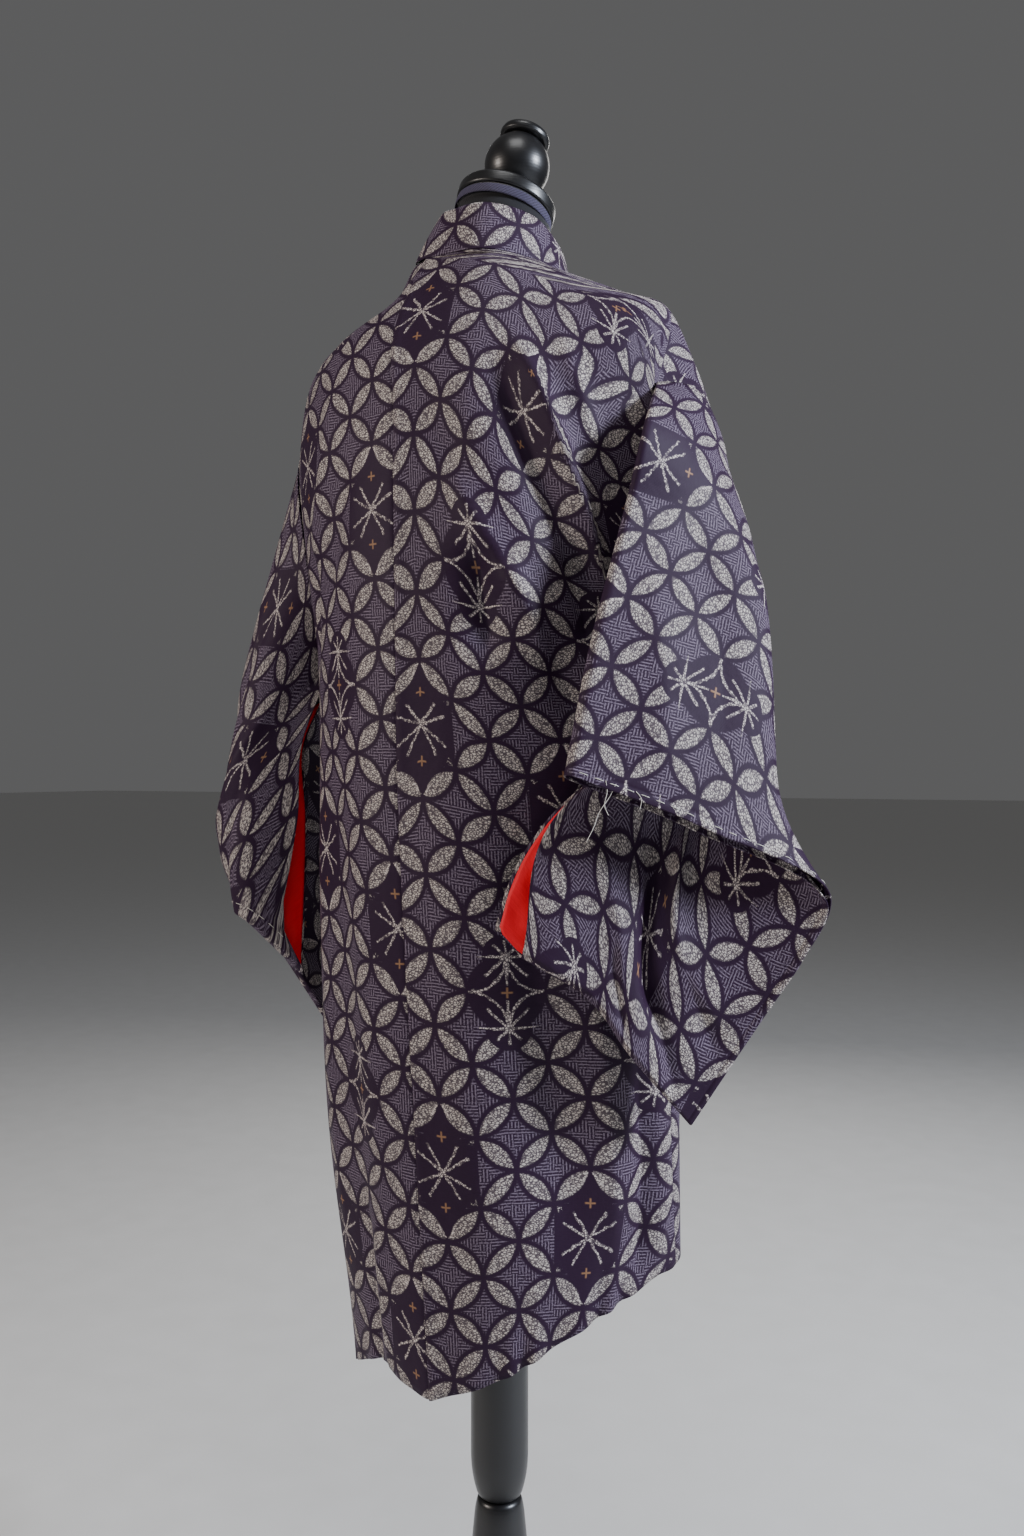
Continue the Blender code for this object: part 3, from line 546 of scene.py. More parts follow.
LEFT_ROWS = {
    "back_hem": [(-0.3, 12.8, 45.5), (-3.6, 11.6, 45.9), (-7.1, 9.2, 46), (-12, 5.6, 43.5), (-15.5, 1.1, 41)],
    "back_thigh": [(-1, 14.2, 70), (-6, 13, 69.5), (-11, 9.8, 68.8), (-15.3, 6.3, 68), (-17.2, 2.3, 67.5)],
    "back_hip": [(-1.6, 14.8, 85), (-6.8, 13.6, 85), (-12, 10, 85), (-16, 6.3, 85), (-17.8, 2.4, 85)],
    "back_waist": [(-2.1, 15.2, 100), (-7.3, 13.9, 100), (-12.6, 10.2, 100), (-16.2, 6.3, 100), (-17.9, 2.5, 100)],
    "back_armpit": [(-2.2, 15.3, 110), (-7.5, 14, 110), (-12.8, 10.4, 110), (-16.6, 6, 109.8), (-18.6, 2, 109.5)],
    "back_blade": [(-2.4, 15.2, 120), (-7.7, 14, 120), (-13, 10.8, 120), (-17, 7.2, 120), (-18.8, 4.6, 120)],
    "back_yoke": [(-3, 14.3, 130), (-8.2, 13, 130.5), (-13.5, 10.3, 131), (-17.8, 7, 130), (-19.8, 4.8, 128)],
    "back_top": [(-4.2, 11.5, 140), (-8.8, 10, 140.3), (-13.8, 8, 139), (-18.2, 5.4, 136.6), (-20.5, 3.2, 131.6)],
    "nape": [(-4, 7.2, 146.5), (-8, 6.6, 142.7), (-13, 5.4, 141.2), (-18.4, 3.6, 139), (-20.7, 2.4, 132.8)],
    "neck_back": [(-5.6, 6, 146.9), (-8.9, 4.9, 143.5), (-13.8, 4, 142), (-18.9, 2.7, 139.7), (-20.8, 2, 133.2)],
    "neck_side": [(-6.6, 4, 147.3), (-9.8, 3.2, 144.4), (-14.5, 2.6, 142.6), (-19.3, 1.8, 140.2), (-20.8, 1.7, 133.4)],
    "ridge": [(-6.8, 1.5, 147.8), (-10.7, 1.5, 145), (-15.2, 1.2, 142.8), (-19.6, 0.8, 140.4), (-20.9, 1.4, 133.5)],
    "front_top": [(-6.4, -4.5, 143), (-10.5, -4.3, 141.6), (-15.2, -3.6, 140), (-19.7, -2, 137.4), (-21.2, 0.2, 132.9)],
    "front_chest": [(-6.5, -9.2, 134), (-10.6, -9.2, 133), (-15, -8, 132.5), (-19.2, -5.2, 131), (-20.9, -2.3, 128.5)],
    "front_bust": [(-7, -12, 121), (-11, -11.4, 120.5), (-15, -9.8, 120.3), (-18.3, -6.8, 120), (-19.7, -3.4, 119.8)],
    "front_armpit": [(-7.2, -12.2, 109), (-11, -11.2, 109), (-14.8, -9, 109.2), (-17.8, -4.6, 109.4),
                     (-18.6, -0.2, 109.5)],
    "front_hip": [(-7.2, -12.2, 85), (-10.8, -11.2, 85), (-14, -9, 85), (-16.7, -5.8, 85), (-17.7, -1.8, 85)],
    "front_hem": [(-6.6, -11.4, 46), (-9.6, -10.6, 45), (-12.6, -8.8, 43.5), (-14.6, -6.4, 42.2), (-15.4, -3.8, 41.4)],
}
ROW_STEPS = {
    "back_hem": 36, "back_thigh": 20, "back_hip": 20, "back_waist": 13, "back_armpit": 13, "back_blade": 13,
    "back_yoke": 12, "back_top": 8, "nape": 4, "neck_back": 4, "neck_side": 6, "ridge": 7,
    "front_top": 9, "front_chest": 12, "front_bust": 12, "front_armpit": 20, "front_hip": 22, "front_hem": 0,
}
ACROSS_STEPS = 22
EDGE_GAP = 0.04  # cm, between the edges of two pieces at a seam
SEAM_DIP = 0.16  # cm, depth of the cloth's dip into a seam
PRESSED = 0.11  # cm, how far the middle seam is pressed up on the right and down on the left
# Where a star figure lies: cm out from the inner edge, and height on the middle of the back.
FIGURE_AT = {"right": (2.5, 102.6), "left": (2.5, 122.4)}
RISE = {"right": 1.08, "left": 1}  # pattern taken up by each cm of cloth above that figure


def knots_of(net, axis):
    """Mean length along one axis of a net of points."""
    steps = np.linalg.norm(np.diff(net, axis=axis), axis=2).mean(1 - axis)
    return np.concatenate([[0], np.cumsum(steps)])


def lengths(grid, axis):
    """Length along one axis of a grid, from its first point."""
    steps = np.linalg.norm(np.diff(grid, axis=axis), axis=2)
    total = np.cumsum(steps, axis=axis)
    return np.insert(total, 0, 0, axis=axis)


def body_grid(rows):
    """The body half as a grid, the grid row of each named row, and the rows' spacing."""
    names = list(rows)
    net = np.array([rows[name] for name in names], float)
    knots = knots_of(net, 0)
    samples, index = [], {}
    for i, name in enumerate(names):
        index[name] = len(samples)
        if i < len(names) - 1:
            samples.extend(np.linspace(knots[i], knots[i + 1], ROW_STEPS[name], endpoint=False))
        if name == "ridge":
            samples.insert(index[name] + 1, knots[i] + 0.04)
    samples.append(knots[-1])
    corners = [()] * net.shape[1]
    corners[0] = (names.index("nape"),)
    corners[-1] = (names.index("back_armpit"), names.index("front_armpit"))
    lines = [spline(knots, samples, corners[j]) @ net[:, j] for j in range(net.shape[1])]
    across = knots_of(net, 1)
    columns = np.linspace(0, across[-1], ACROSS_STEPS * (net.shape[1] - 1) + 1)
    columns = np.concatenate([[0, 0.07, 0.15], columns[1:-1], across[-1] - np.array([0.15, 0.07, 0])])
    grid = np.einsum("ck,rkx->rcx", spline(across, columns), np.stack(lines, 1))
    return grid, index, (knots, samples)


def outward_of(grid, flip):
    """Unit normals of a grid."""
    return unit(np.cross(np.gradient(grid, axis=0), np.gradient(grid, axis=1))) * flip


# Creases on each half: (out, height) at both ends, width, and height above the cloth; all cm.
BODY_CREASES = {
    "right": {
        "back": [
            (11.4, 136, 18.6, 116.5, 1, 1.45), (9.4, 134.5, 16.2, 115, 1.4, -1.2),
            (15.6, 119, 17.8, 109.5, 1.6, -1.4), (5.6, 125, 11.4, 113, 1.2, 0.8),
            (7.4, 118.5, 8.6, 109, 1.4, -1.4), (10.2, 117, 14, 108.5, 1.1, 0.95),
            (12.8, 112, 16, 103.5, 1.3, -0.8), (3, 131.5, 8.5, 120, 1.6, -0.35),
            (15.4, 136.5, 18.6, 126, 1, 0.4), (3.5, 101, 5, 62, 3, 0.4),
            (10.5, 100, 13, 60, 3, -0.6), (16.2, 92, 17.6, 58, 2, 0.65),
            (20.2, 76, 20.8, 55, 1.3, -0.95), (22.6, 80, 23.2, 56, 1.2, 0.6),
        ],
        "front": [
            (3, 128, 9.5, 114, 1.4, 0.45), (8, 126, 12.5, 112, 1.5, -0.5),
            (4, 104, 4.6, 62, 2.2, 0.5), (8.4, 100, 8.8, 60, 1.9, -0.55),
        ],
    },
    "left": {
        "back": [
            (7.5, 135, 13.5, 118, 1.3, 0.45), (5.2, 128, 11, 113, 1.5, -0.45),
            (13.5, 120, 16, 110, 1.4, -0.6), (3.4, 112, 4.6, 66, 2.6, 0.35),
            (9.4, 104, 8, 58, 2.6, -0.45), (14.6, 98, 13, 54, 2.2, 0.45),
            (5.6, 60, 6.2, 45, 1.2, 0.4), (8.4, 62, 8.8, 44, 1.2, -0.55),
        ],
        "front": [
            (3.5, 129, 10, 115, 1.4, 0.45), (8.5, 125, 12, 111, 1.5, -0.5),
            (4.2, 104, 3.8, 56, 2.2, 0.5), (8.2, 102, 7.2, 54, 1.9, -0.55),
        ],
    },
}


# Share of cloth eased into each cm across, by height.
EASE = {
    "right": ([45, 85, 102, 116, 126, 131, 136, 147], [0.97, 0.93, 1.0, 1.14, 1.26, 1.2, 1.02, 1.02]),
    "left": ([45, 147], [1, 1]),
}
# How far the grain slides across, and sags beside the middle seam, in circle radii by height.
GRAIN_DRIFT = {
    "right": (([45, 147], [0, 0]), ([66, 104, 140], [0.2, -0.5, -0.4])),
    "left": (([49, 86, 122], [0.35, 0.65, 0]), ([45, 147], [0, 0])),
}
DRAG_FOLD = (11.4, 136, 18.6, 116.5)  # out, height, out, height
# Sag of the grain at the right shoulder in circle radii, by its place across, and its share by height.
SHOULDER_SAG = ([0, 2, 3, 4, 5, 6, 8], [1.4, 1.5, 1.0, 0, -0.75, -1.35, -2.2])
SHOULDER_SHARE = ([114, 126, 131, 138], [0, 0.6, 0.85, 1])


def shoulder_grain(uv, out, height):
    """The uv where the cloth sags from the seam to the shoulder, and the drag fold takes some of it up."""
    sag = np.interp(uv[..., 0], *SHOULDER_SAG) * np.interp(height, *SHOULDER_SHARE)
    a0, b0, a1, b1 = DRAG_FOLD
    beyond = ((height - b0) * (a1 - a0) - (out - a0) * (b1 - b0)) / math.hypot(a1 - a0, b1 - b0)
    share = np.clip(beyond / 0.1, 0, 1) * np.clip((height - 113) / 4, 0, 1) * np.clip((out - 8) / 0.1, 0, 1)
    aside = 0.25 * share * np.clip((b0 - height) / 5, 0, 1)
    down = sag - 0.11 * share * np.clip(b0 - height, 0, 9)
    return uv + np.stack([aside, down], -1)


def crease_lift(first, second, creases):
    """Height of a list of creases at each point of a grid, from the point's two coordinates."""
    lift = np.zeros_like(first)
    for a0, b0, a1, b1, width, height in creases:
        length = math.hypot(a1 - a0, b1 - b0)
        along = ((first - a0) * (a1 - a0) + (second - b0) * (b1 - b0)) / length**2
        beside = ((first - a0) * (b1 - b0) - (second - b0) * (a1 - a0)) / length
        ends = np.clip(np.minimum(along + 0.1, 1.1 - along) / 0.35, 0, 1)
        lift += height * ends**2 * (3 - 2 * ends) * np.exp(-((np.abs(beside) / width) ** 1.4))
    return lift


RIPPLE = {"right": 0.26, "left": 0.12}  # cm, height of the ripple at the hem
halves = {}
for side, rows in (("right", RIGHT_ROWS), ("left", LEFT_ROWS)):
    grid, index, spacing = body_grid(rows)
    flip = 1 if side == "right" else -1
    out = lengths(grid, 1)
    level = grid[:, 0, 2]
    start, height = FIGURE_AT[side]
    anchor = int(np.argmin(np.abs(level[: index["back_top"]] - height)))
    down = -(lengths(grid, 0) - lengths(grid, 0)[anchor])
    down = np.where(down < 0, down * RISE[side], down)
    # Down the front the rows of the pattern are level again, from the shoulder line on.
    front, bust = index["ridge"] + 1, index["front_bust"]
    down[front:] += down[bust, :1] - down[bust]
    ease = np.interp(grid[:, 0, 2], *EASE[side])
    ease[index["nape"] :] = ease[index["nape"]]
    uv = np.stack([flip * (out * ease[:, None] - start), down], -1) / UNIT
    drift, sag = (np.interp(level, *table)[:, None] for table in GRAIN_DRIFT[side])
    near_seam = np.clip(1 - np.abs(uv[..., 0]) / 1.8, 0, 1)
    uv[:front] -= np.stack([drift + 0 * out, sag * near_seam], -1)[:front]
    if side == "right":
        uv[:front] = shoulder_grain(uv, out, grid[..., 2])[:front]
    outward = outward_of(grid, flip)
    # The cloth dips into each seam.
    dip = np.exp(-((out / 0.22) ** 2)) + 0.7 * np.exp(-(((out[:, -1:] - out) / 0.4) ** 2))
    nape = index["nape"]
    folds = BODY_CREASES[side]
    lift = np.concatenate([
        crease_lift(out[:nape], grid[:nape, :, 2], folds["back"]),
        crease_lift(out[nape:], grid[nape:, :, 2], folds["front"]),
    ])
    lift *= np.clip(out / 1.5, 0, 1) * np.clip((out[:, -1:] - out) / 2.5, 0, 1)
    # The hem ripples, and the right half is pressed over the left at the middle seam.
    from_hem = lengths(grid, 0)[:, :1]
    ripple = np.sin(2 * math.pi * out / 3.4 + 1.2 * np.sin(0.7 * out)) * np.exp(-from_hem / 3) * RIPPLE[side]
    lift += ripple * np.clip(out / 9, 0, 1) * np.clip((out[:, -1:] - out) / 2, 0, 1)
    cloth = grid + (lift - SEAM_DIP * dip)[..., None] * outward
    cloth += (flip * PRESSED * np.exp(-((out / 0.7) ** 2)))[..., None] * outward
    cloth[:, 0] += EDGE_GAP * unit(cloth[:, 1] - cloth[:, 0])
    cloth[:, -1] += EDGE_GAP * unit(cloth[:, -2] - cloth[:, -1])
    halves[side] = grid, index, spacing
    piece = add_cloth(f"body_{side}_silk", cloth, uv, silk, "silk", f"body_{side}")


# Gussets: side gores from armpit to hem.
# The same silk, let in between back and front on each side.
def line_length(line):
    """Length along a line of points, from its first point."""
    return lengths(line[None], 1)[0]


def points_at(line, wanted):
    """The points at these lengths along a line of points."""
    length = line_length(line)
    return np.stack([np.interp(wanted, length, line[:, k]) for k in range(3)], 1)


def resample(line, count):
    """The line at equal steps of its length."""
    return points_at(line, np.linspace(0, line_length(line)[-1], count))


for side in ("right", "left"):
    grid, index, _ = halves[side]
    flip = 1 if side == "right" else -1
    back = resample(grid[: index["back_armpit"] + 1, -1][::-1], 120)
    front = resample(grid[index["front_armpit"] :, -1], 120)
    shares = np.linspace(0, 1, 13)
    bulge = 0.1 * (4 * shares * (1 - shares))[:, None] * np.cross(front - back, (0, 0, 1))[:, None] * flip
    gore = back[:, None] + shares[:, None] * (front - back)[:, None] - bulge
    dip = np.exp(-((np.minimum(shares, 1 - shares) * 4 / 0.5) ** 2))
    outward = unit(-np.cross(front - back, (0, 0, 1)) * flip)
    gore = (gore - SEAM_DIP * dip[:, None] * outward[:, None])[1:]
    gore[:, 0] += EDGE_GAP * unit(gore[:, 1] - gore[:, 0])
    gore[:, -1] += EDGE_GAP * unit(gore[:, -2] - gore[:, -1])
    uv = np.stack([lengths(gore, 1) + 4, lengths(gore, 0)], -1) / UNIT
    piece = add_cloth(f"gusset_{side}_silk", gore, uv, silk, "silk", f"gusset_{side}")


# Collar: double band from hem to nape to hem.
# A folded strip of the silk, sewn to the neck and front edges, with a soft round free edge.
COLLAR_EDGE = {
    "right": {
        "nape": (-2.7, 5.7, 151.2),
        "neck_back": (1.9, 6.3, 150.9),
        "neck_side": (5, 3.2, 150.3),
        "ridge": (5.5, -1.5, 149.2),
        "front_top": (3.9, -6.2, 144.2),
        "front_chest": (2.6, -10.2, 135),
        "front_bust": (2.4, -12.9, 121.8),
        "front_armpit": (2.6, -13.2, 109.2),
        "front_hip": (2.7, -13.1, 85),
        "front_hem": (2.9, -12.6, 55.4),
    },
    "left": {
        "nape": (-2.7, 5.7, 151.2),
        "neck_back": (-3.9, 3.9, 152),
        "neck_side": (-4.8, 2.2, 152.6),
        "ridge": (-5.3, 0.2, 152.9),
        "front_top": (-4.4, -5.6, 146.6),
        "front_chest": (-2.7, -10, 136.2),
        "front_bust": (-2.4, -12.9, 122),
        "front_armpit": (-2.4, -13.2, 109.2),
        "front_hip": (-2.4, -13.1, 85),
        "front_hem": (-2.1, -12.3, 46.2),
    },
}
ends = {}
for side in ("right", "left"):
    grid, index, (knots, samples) = halves[side]
    names = list(RIGHT_ROWS)
    start, first = names.index("nape"), index["nape"]
    edge = np.array([COLLAR_EDGE[side][name] for name in names[start:]], float)
    ends[side] = grid[first:, 0], spline(knots[start:], samples[first:]) @ edge
seam = np.concatenate([ends["right"][0][::-1], ends["left"][0][1:]])
free = np.concatenate([ends["right"][1][::-1], ends["left"][1][1:]])
shares = np.concatenate([[0.01], np.linspace(0.04, 1, 22)])
band = seam[:, None] + shares[:, None] * (free - seam)[:, None]
facing = unit(np.cross(np.gradient(band, axis=0), np.gradient(band, axis=1)))
roll = 0.16 * np.sqrt(np.clip(1 - (2 * shares - 1) ** 2, 0, 1))[:, None]
ring = np.concatenate([band + roll * facing, (band - roll * facing)[:, -2:0:-1]], 1)
wide = lengths(band, 1)
long = lengths(band, 0).mean(1, keepdims=True) + 0 * wide
spread = np.concatenate([wide, 2 * wide[:, -1:] - wide[:, -2::-1]], 1)
tall = np.concatenate([long, long[:, -2::-1]], 1)
piece = add_cloth("collar_silk", ring, np.stack([spread + 3, tall], -1) / UNIT, silk, "silk", "collar", 0.06, True)


# Sleeves: square hanging sleeves.
# Each is one width of silk folded over at the top, sewn round the armhole and part way up the cuff edge.
# Rows from the armhole to the cuff, each from the upper fold down: the middle between the layers, cm.
SLEEVE_MIDDLE = {
    "right": [
        [(17.6, 4.5, 133.1), (19, 0, 121), (19, 0.6, 109.3), (19.3, 7.6, 103.8), (12.3, 12.4, 97), (9.6, 15, 84.7)],
        [(18.3, 9.3, 128.6), (22.2, 0.2, 119.6), (20.5, 1.2, 107.8),
         (20.3, 6.4, 102.2), (14.6, 11.2, 95.6), (11.4, 14.2, 83.6)],
        [(17, 10.4, 121.8), (24.4, 1.7, 117), (21.4, 2.7, 105),
         (20.3, 5.2, 99.2), (17.6, 8.6, 92.9), (14, 12.2, 81.5)],
        [(15.4, 14.1, 110.2), (25.8, 5.4, 105.8), (24.6, 3.6, 97),
         (22, 5.6, 91.5), (19.6, 7.8, 85.5), (17.6, 10.8, 76.5)],
        [(14.3, 16.9, 99.4), (23.2, 10.6, 95.1), (31.8, 3.5, 88.9),
         (29.8, 3.8, 84.5), (26.7, 4.4, 79.7), (21, 6.5, 70.5)],
    ],
    "left": [
        [(-20.9, 1.4, 133.5), (-19.8, 0.8, 121), (-18.6, 0.9, 109.5),
         (-19.9, 3.7, 102.8), (-19.3, 4.1, 95), (-19.7, 4.4, 79.5)],
        [(-24.5, 0.5, 123), (-24.8, 4.5, 112.5), (-24.5, 7, 103),
         (-24.7, 7.8, 98.3), (-24.8, 8.3, 93.5), (-24.3, 8, 85.5)],
        [(-26.8, -3, 113.5), (-27.6, 0, 105), (-27.4, 2, 97), (-27.9, 2.6, 93.5), (-28.2, 3, 90), (-26.6, 0.5, 82.5)],
        [(-28.5, -14, 106), (-26, -18.5, 98), (-24.5, -18, 90),
         (-24.5, -16, 86), (-24.3, -12.5, 80.5), (-22.5, -4.5, 72.5)],
    ],
}
SLEEVE_GAP = {  # cm between the layers at those points
    "right": [
        [0.7, 3, 1.2, 1.1, 1.8, 1.3],
        [0.8, 2.2, 0.9, 1.1, 1.6, 1.3],
        [0.9, 1.6, 0.9, 1.2, 1.4, 1.2],
        [1.2, 1.4, 0.9, 1.1, 1.3, 1],
        [1.6, 1.6, 0.44, 0.44, 0.44, 0.44],
    ],
    "left": [
        [0.5, 3, 2.2, 2.4, 2.8, 1.6],
        [1.2, 1.8, 1.8, 1.8, 1.8, 1.3],
        [1.4, 1.6, 1.5, 1.5, 1.4, 1],
        [1.6, 1.7, 1, 0.6, 0.6, 0.6],
    ],
}
SLEEVE_KNOTS = [0, 0.25, 0.5, 0.62, 0.75, 1]
SLEEVE_ROWS = {"right": [0, 0.13, 0.33, 0.66, 1], "left": [0, 0.33, 0.66, 1]}
FRONT_LAYER = {"right": 1, "left": -1}  # side of the middle on which the front layer lies
ARMPIT = 0.5  # share of the sleeve's depth that is sewn to the body
SLEEVE_DEPTH = 52  # cm, down from the upper fold
SLEEVE_WIDTH = 31  # cm, along from the armhole to the cuff
SLEEVE_LAP = 0.14  # cm, how far the sleeve's edge lies out from the armhole's
# Creases as for the body: (cm from the armhole, cm from the upper fold) at both ends, width and height.
SLEEVE_CREASES = {
    "right": [
        (7, 36, 23, 46.5, 1.5, 1), (4.5, 40.5, 16, 49, 1.8, -0.45), (14, 34, 28, 42.5, 1.7, -0.6),
        (19, 43, 27, 51, 1.2, 0.55), (22, 38.5, 29.5, 45.5, 1.2, 0.4), (11, 47, 19, 51.5, 1, 0.35),
        (8, 5, 27, 12, 2.6, -0.35), (9, 13, 26, 19.5, 2.4, 0.3), (15, 3, 29, 7.5, 1.6, 0.3),
    ],
    "left": [
        (5, 12, 20, 26, 1.8, 0.45), (6, 24, 17, 38, 1.8, -0.5), (9, 33, 14, 48, 1.6, 0.55),
        (16, 18, 27, 40, 1.8, 0.5), (20, 30, 27, 48, 1.6, -0.55),
    ],
}
HEM_TURN = 0.7  # cm, width of the cloth turned in at the cuff edge
# One layer's open inner edge is drawn aside to show the lining: how far, and its share down the edge.
EDGE_DRAW = {"right": ("front", (-2.3, 1.15, 0)), "left": ("back", (-2.0, 1.0, 0))}
DRAW_PLACES = {"right": [0, 0.72, 0.8, 0.9, 0.955, 1], "left": [0, 0.6, 0.75, 0.88, 0.93, 0.988]}
DRAW_SHARES = {"right": [0, 0, 0.25, 0.8, 1, 0], "left": [0, 0, 0.45, 1, 0.9, 0]}
GRAIN_TURN = {"right": 0, "left": 0.785}  # radians
FIGURE_ON = {"right": (-1.13, 0.73), "left": (0, 0)}  # shift of the pattern, circle radii
ease = np.linspace(0, 1, 9)[1:-1]
SLEEVE_ACROSS = np.concatenate([[0], 0.012 * ease**2, np.linspace(0.012, 0.988, 150), 1 - 0.012 * ease[::-1] ** 2, [1]])
SLEEVE_ALONG = np.concatenate([np.linspace(0, 0.955, 100), np.linspace(0.96, 1, 14)])


def armhole_line(side, layer):
    """The body's armhole edge from the upper fold to the armpit, moved out so that the sleeve laps over it."""
    grid, index, _ = halves[side]
    across = grid[:, -1] - grid[:, -2]
    outward = unit(np.cross(np.gradient(grid[:, -1], axis=0), across)) * FRONT_LAYER[side]
    edge = grid[:, -1] + SLEEVE_LAP * outward + 0.03 * unit(across)
    if layer == "back":
        return edge[index["back_armpit"] : index["ridge"] + 1][::-1]
    return edge[index["ridge"] : index["front_armpit"] + 1]


def sleeve_layers(side, along, across, creased=1):
    """Front and back layer of a sleeve as grids of points at these shares along and down it."""
    net = np.array(SLEEVE_MIDDLE[side], float)
    down = spline(SLEEVE_ROWS[side], along)
    over = spline(SLEEVE_KNOTS, across)
    middle = np.einsum("sr,wc,rcx->swx", down, over, net)
    gap = np.einsum("sr,wc,rc->sw", down, over, np.array(SLEEVE_GAP[side], float))
    facing = unit(np.cross(np.gradient(middle, across, axis=1), np.gradient(middle, along, axis=0)))
    facing *= FRONT_LAYER[side]
    radius = np.maximum(gap / 2, 0.01)
    from_fold = np.clip(SLEEVE_DEPTH * np.minimum(across, 1 - across) / radius, 0, 1)
    normal = (radius * np.sqrt(1 - (1 - from_fold) ** 2))[..., None] * facing
    wide, deep = np.meshgrid(along * SLEEVE_WIDTH, across * SLEEVE_DEPTH, indexing="ij")
    lift = creased * crease_lift(wide, deep, SLEEVE_CREASES[side]) * np.clip(wide / 3, 0, 1)
    middle += lift[..., None] * facing
    from_cuff = SLEEVE_WIDTH - wide
    bead = 0.06 * np.exp(-(((from_cuff - 0.3) / 0.35) ** 2)) - 0.05 * np.exp(-(((from_cuff - HEM_TURN) / 0.16) ** 2))
    normal += bead[..., None] * facing
    layers = {"front": middle + normal, "back": middle - normal}
    fade = np.clip(1 - along / 0.36, 0, 1)[:, None, None] ** 2
    below = np.clip(1 - (across - ARMPIT) / 0.1, 0, 1)[:, None] ** 2
    for name, layer in layers.items():
        line = armhole_line(side, name)
        target = points_at(line, np.clip(across / ARMPIT, 0, 1) * line_length(line)[-1])
        layers[name] = layer + fade * (target - layer[0]) * below
    drawn, shift = EDGE_DRAW[side]
    pull = np.interp(across, DRAW_PLACES[side], DRAW_SHARES[side])[:, None] * np.array(shift)
    layers[drawn] = layers[drawn] + np.clip(1 - along / 0.3, 0, 1)[:, None, None] ** 2 * pull
    return layers


def steps_sum(grid, axis):
    """At each point, the sum of the unit steps to it and from it along one axis."""
    steps = unit(np.diff(grid, axis=axis))
    here = [int(k == axis) for k in range(3)]
    return np.pad(steps, [(k, 0) for k in here]) + np.pad(steps, [(0, k) for k in here])


sleeves = {}
for side in ("right", "left"):
    layers = sleeve_layers(side, SLEEVE_ALONG, SLEEVE_ACROSS)
    sleeves[side] = layers
    # The ring starts at the lower seam, goes up the front over the fold and down the back.
    ring = np.concatenate([layers["front"][:, ::-1], layers["back"][:, 1:-1]], 1)
    smooth = sleeve_layers(side, SLEEVE_ALONG, SLEEVE_ACROSS, 0)
    down = np.concatenate([-lengths(smooth["front"], 1)[:, ::-1], lengths(smooth["back"], 1)[:, 1:]], 1)
    across = np.concatenate([lengths(smooth["front"], 0)[:, ::-1], lengths(smooth["back"], 0)[:, 1:]], 1)
    across += SLEEVE_WIDTH / 2 - across[len(across) // 2]
    turn = GRAIN_TURN[side]
    first, second = FIGURE_ON[side]
    turned_across = across * math.cos(turn) + down * math.sin(turn)
    turned_down = down * math.cos(turn) - across * math.sin(turn)
    uv = np.stack([turned_across / UNIT + first, turned_down / UNIT + second], -1)
    piece = add_cloth(f"sleeve_{side}_silk", ring, uv, silk, "silk", f"sleeve_{side}", 0.1, True)


# Sleeve linings: red silk inside the open inner edges.
# A plain weave sheet just inside the cloth, turned to show a hair at the edge.
LINING_FROM = 0.55  # share down the sleeve
LINING_TO = 0.34  # share along it from the open inner edge

red, shader, value = new_material("red_silk")
_, x, y = cloth_place(value)
weave = ((x * 40).fraction() - 0.5).absolute() + ((y * 40).fraction() - 0.5).absolute()
slub = value.noise(stretched(x, y, 2, 24), 1.0, 3)
value.put(shader.inputs["Base Color"], slub.mix(srgb(222, 4, 28), srgb(250, 16, 42)))
value.put(shader.inputs["Roughness"], 0.42 + slub * 0.14)
shader.inputs["Specular IOR Level"].default_value = 0.3
set_bump(value, shader, weave + slub, 0.25, 0.0004)

for side in ("right", "left"):
    layers = sleeves[side]
    kept = SLEEVE_ALONG <= LINING_TO
    low = SLEEVE_ACROSS >= LINING_FROM
    strip = np.concatenate([layers["front"][kept][:, low], layers["back"][kept][:, low][:, -2::-1]], 1)
    outward = unit(np.cross(steps_sum(strip, 0), steps_sum(strip, 1))) * -FRONT_LAYER[side]
    wide, deep = lengths(strip, 0), lengths(strip, 1)
    rumple = 0.5 + 0.3 * np.sin(0.8 * deep + 2.2 * wide) + 0.2 * np.sin(1.7 * deep - 1.8 * wide + 1)
    strip = (strip - (0.14 + 0.28 * rumple * np.clip(wide, 0, 1))[..., None] * outward)[1:, ::2]
    uv = np.stack([lengths(strip, 0), lengths(strip, 1)], -1) / UNIT
    piece = add_cloth(f"lining_{side}_silk", strip, uv, red, "red_lining", f"lining_{side}", 0.08)


# Threads: basting stitches along the sleeve edges, and loose ends.
# White cotton in a long running stitch, over the cloth and down through it; the ends hang where they were cut.
STITCH, STITCH_GAP = 0.75, 0.55  # cm
TUBE_SIDES = 5
THREAD = {"basting": 0.032, "loose": 0.028, "tape": 0.02}  # cm, radius
LATERAL = np.array([0.891, -0.454, 0])  # sideways, for the steps of the loose ends
# Loose ends: where each starts (share down the right sleeve's cuff), then steps (aside, up) in cm.
LOOSE_ENDS = [
    (0.085, [(0, 0.1), (-0.5, -0.9), (-1.3, -2.1), (-1.7, -3.2), (-2.3, -4.4)]),
    (0.065, [(0, 0.1), (0.1, -0.8), (-0.1, -1.8), (0.2, -2.6)]),
    (0.12, [(0, 0.1), (0.4, -0.5), (0.3, -1.3)]),
]
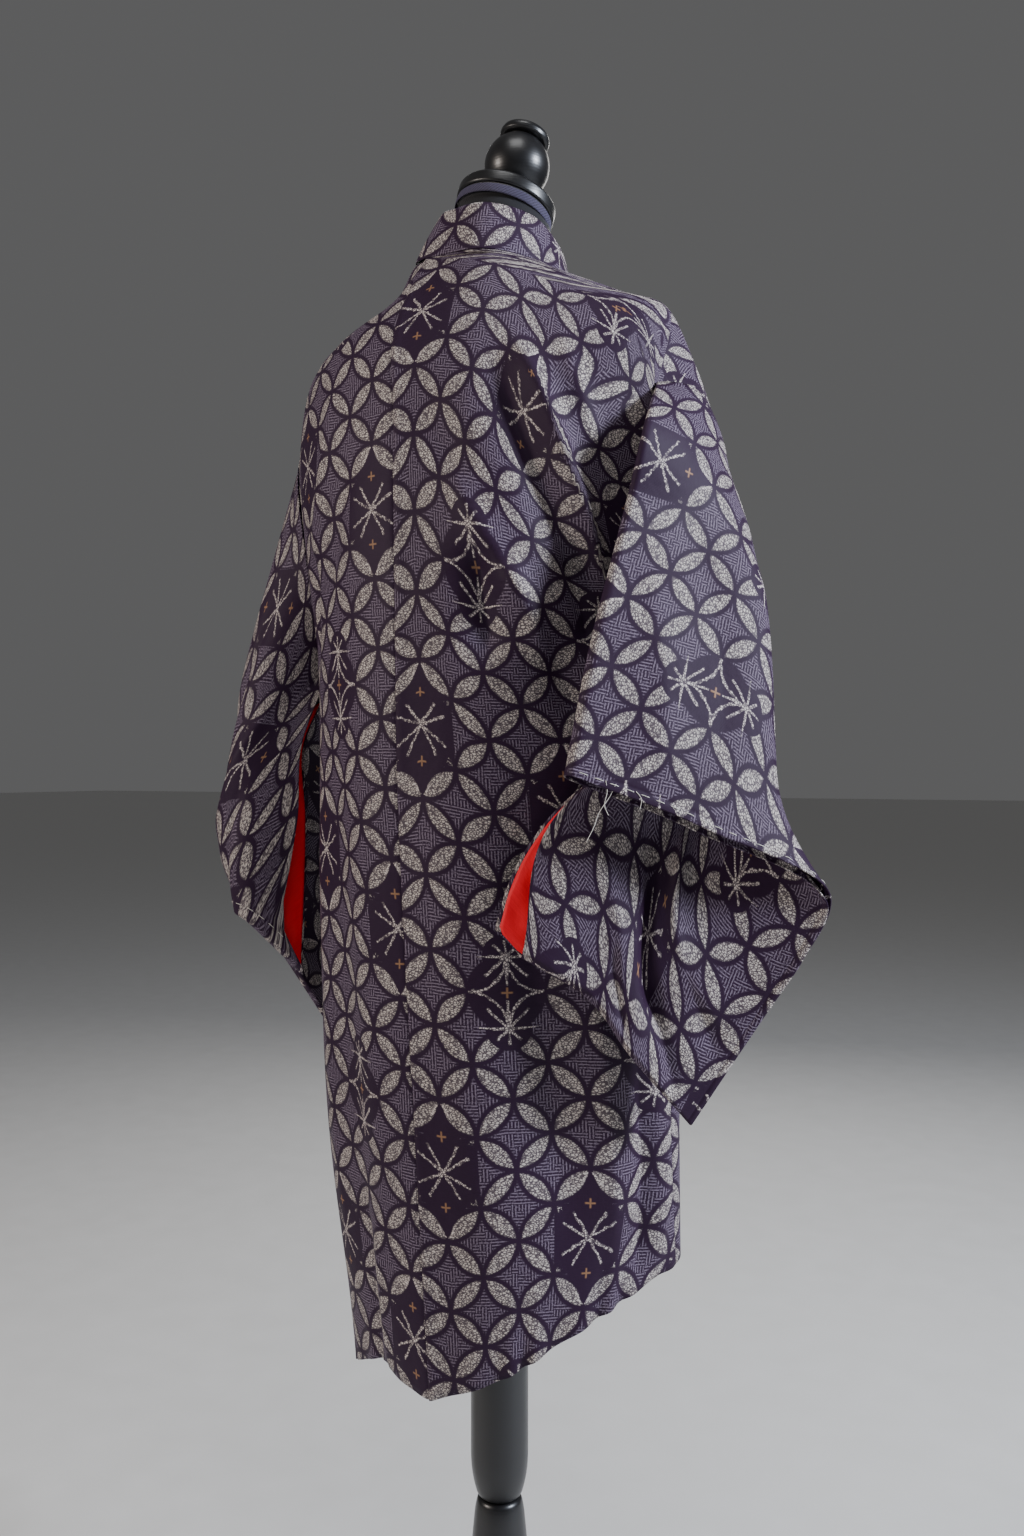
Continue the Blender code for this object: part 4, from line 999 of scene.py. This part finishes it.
# Loose ends of the neck tape: a point on it, then steps as above.
NECK_ENDS = [
    (np.array([3.17, 2.8, 152.2]), [(0, 0), (0.12, -0.35), (-0.02, -0.75), (0.1, -1.1)]),
    (np.array([3.3, 2.65, 152.3]), [(0, 0), (0.3, -0.2), (0.35, -0.6)]),
]

cotton, shader, value = new_material("white_cotton_thread")
ply = value.noise(object_place(value), 1500, 2)
value.put(shader.inputs["Base Color"], ply.mix(srgb(186, 180, 172), srgb(232, 228, 220)))
value.put(shader.inputs["Roughness"], 0.7 + ply * 0.15)


def tube(points, radius):
    """Points and faces of a thin closed tube along a line of points."""
    points = np.asarray(points, float)
    along = unit(np.gradient(points, axis=0))
    across = unit(np.cross(along, (0.31, 0.22, 0.92)))
    other = np.cross(along, across)
    angles = np.arange(TUBE_SIDES) * 2 * math.pi / TUBE_SIDES
    rings = [p + radius * (np.outer(np.cos(angles), a) + np.outer(np.sin(angles), o))
             for p, a, o in zip(points, across, other)]
    return stacked(rings)


def joined(parts):
    """Several lists of points and faces as one."""
    points, faces, start = [], [], 0
    for some, their in parts:
        points.append(some)
        faces += [tuple(start + k for k in face) for face in their]
        start += len(some)
    return np.concatenate(points), faces


def stitched(line, outward):
    """Running stitches along a line of points on the cloth, lying out from it."""
    length = line_length(line)
    parts = []
    for start in np.arange(0.3, length[-1] - STITCH, STITCH + STITCH_GAP):
        wanted = np.linspace(start, start + STITCH, 7)
        spots = points_at(line, wanted)
        rise = np.interp(wanted, length, np.arange(len(line)))
        up = unit(outward[np.round(rise).astype(int)])
        lift = 0.02 + 0.075 * np.sin(np.linspace(0, math.pi, 7))
        parts.append(tube((spots + lift[:, None] * up) * (-1, 1, 1), THREAD["basting"]))
    return parts


def loose_end(start, steps, radius, count):
    """A thread that hangs from a point by its steps."""
    line = np.array([start + aside * LATERAL + np.array([0, 0, up]) for aside, up in steps])
    smooth = spline(np.arange(len(line)), np.linspace(0, len(line) - 1, count)) @ line
    return tube(smooth * (-1, 1, 1), radius)


fine = np.linspace(0.012, 0.49, 160)
cuff = np.array([0.97, 0.985])
layers = sleeve_layers("right", np.concatenate([SLEEVE_ALONG[:-14], cuff]), fine)
row = layers["front"][-1]
away = unit(layers["front"][-1] - layers["back"][-1])
parts = stitched(row, away)
for down, steps in LOOSE_ENDS:
    place = int(np.argmin(np.abs(fine - down)))
    parts.append(loose_end(row[place] + 0.08 * away[place], steps, THREAD["loose"], 24))
for start, steps in NECK_ENDS:
    parts.append(loose_end(start, steps, THREAD["tape"], 20))
add_piece("basting_right", *joined(parts), cotton, "silk")

low = np.array([0.9, 0.955, 0.975])
layers = sleeve_layers("left", SLEEVE_ALONG, low)
row = layers["back"][6:-3, 1]
away = unit(layers["back"][6:-3, 1] - layers["front"][6:-3, 1])
add_piece("basting_left", *joined(stitched(row, away)), cotton, "silk")
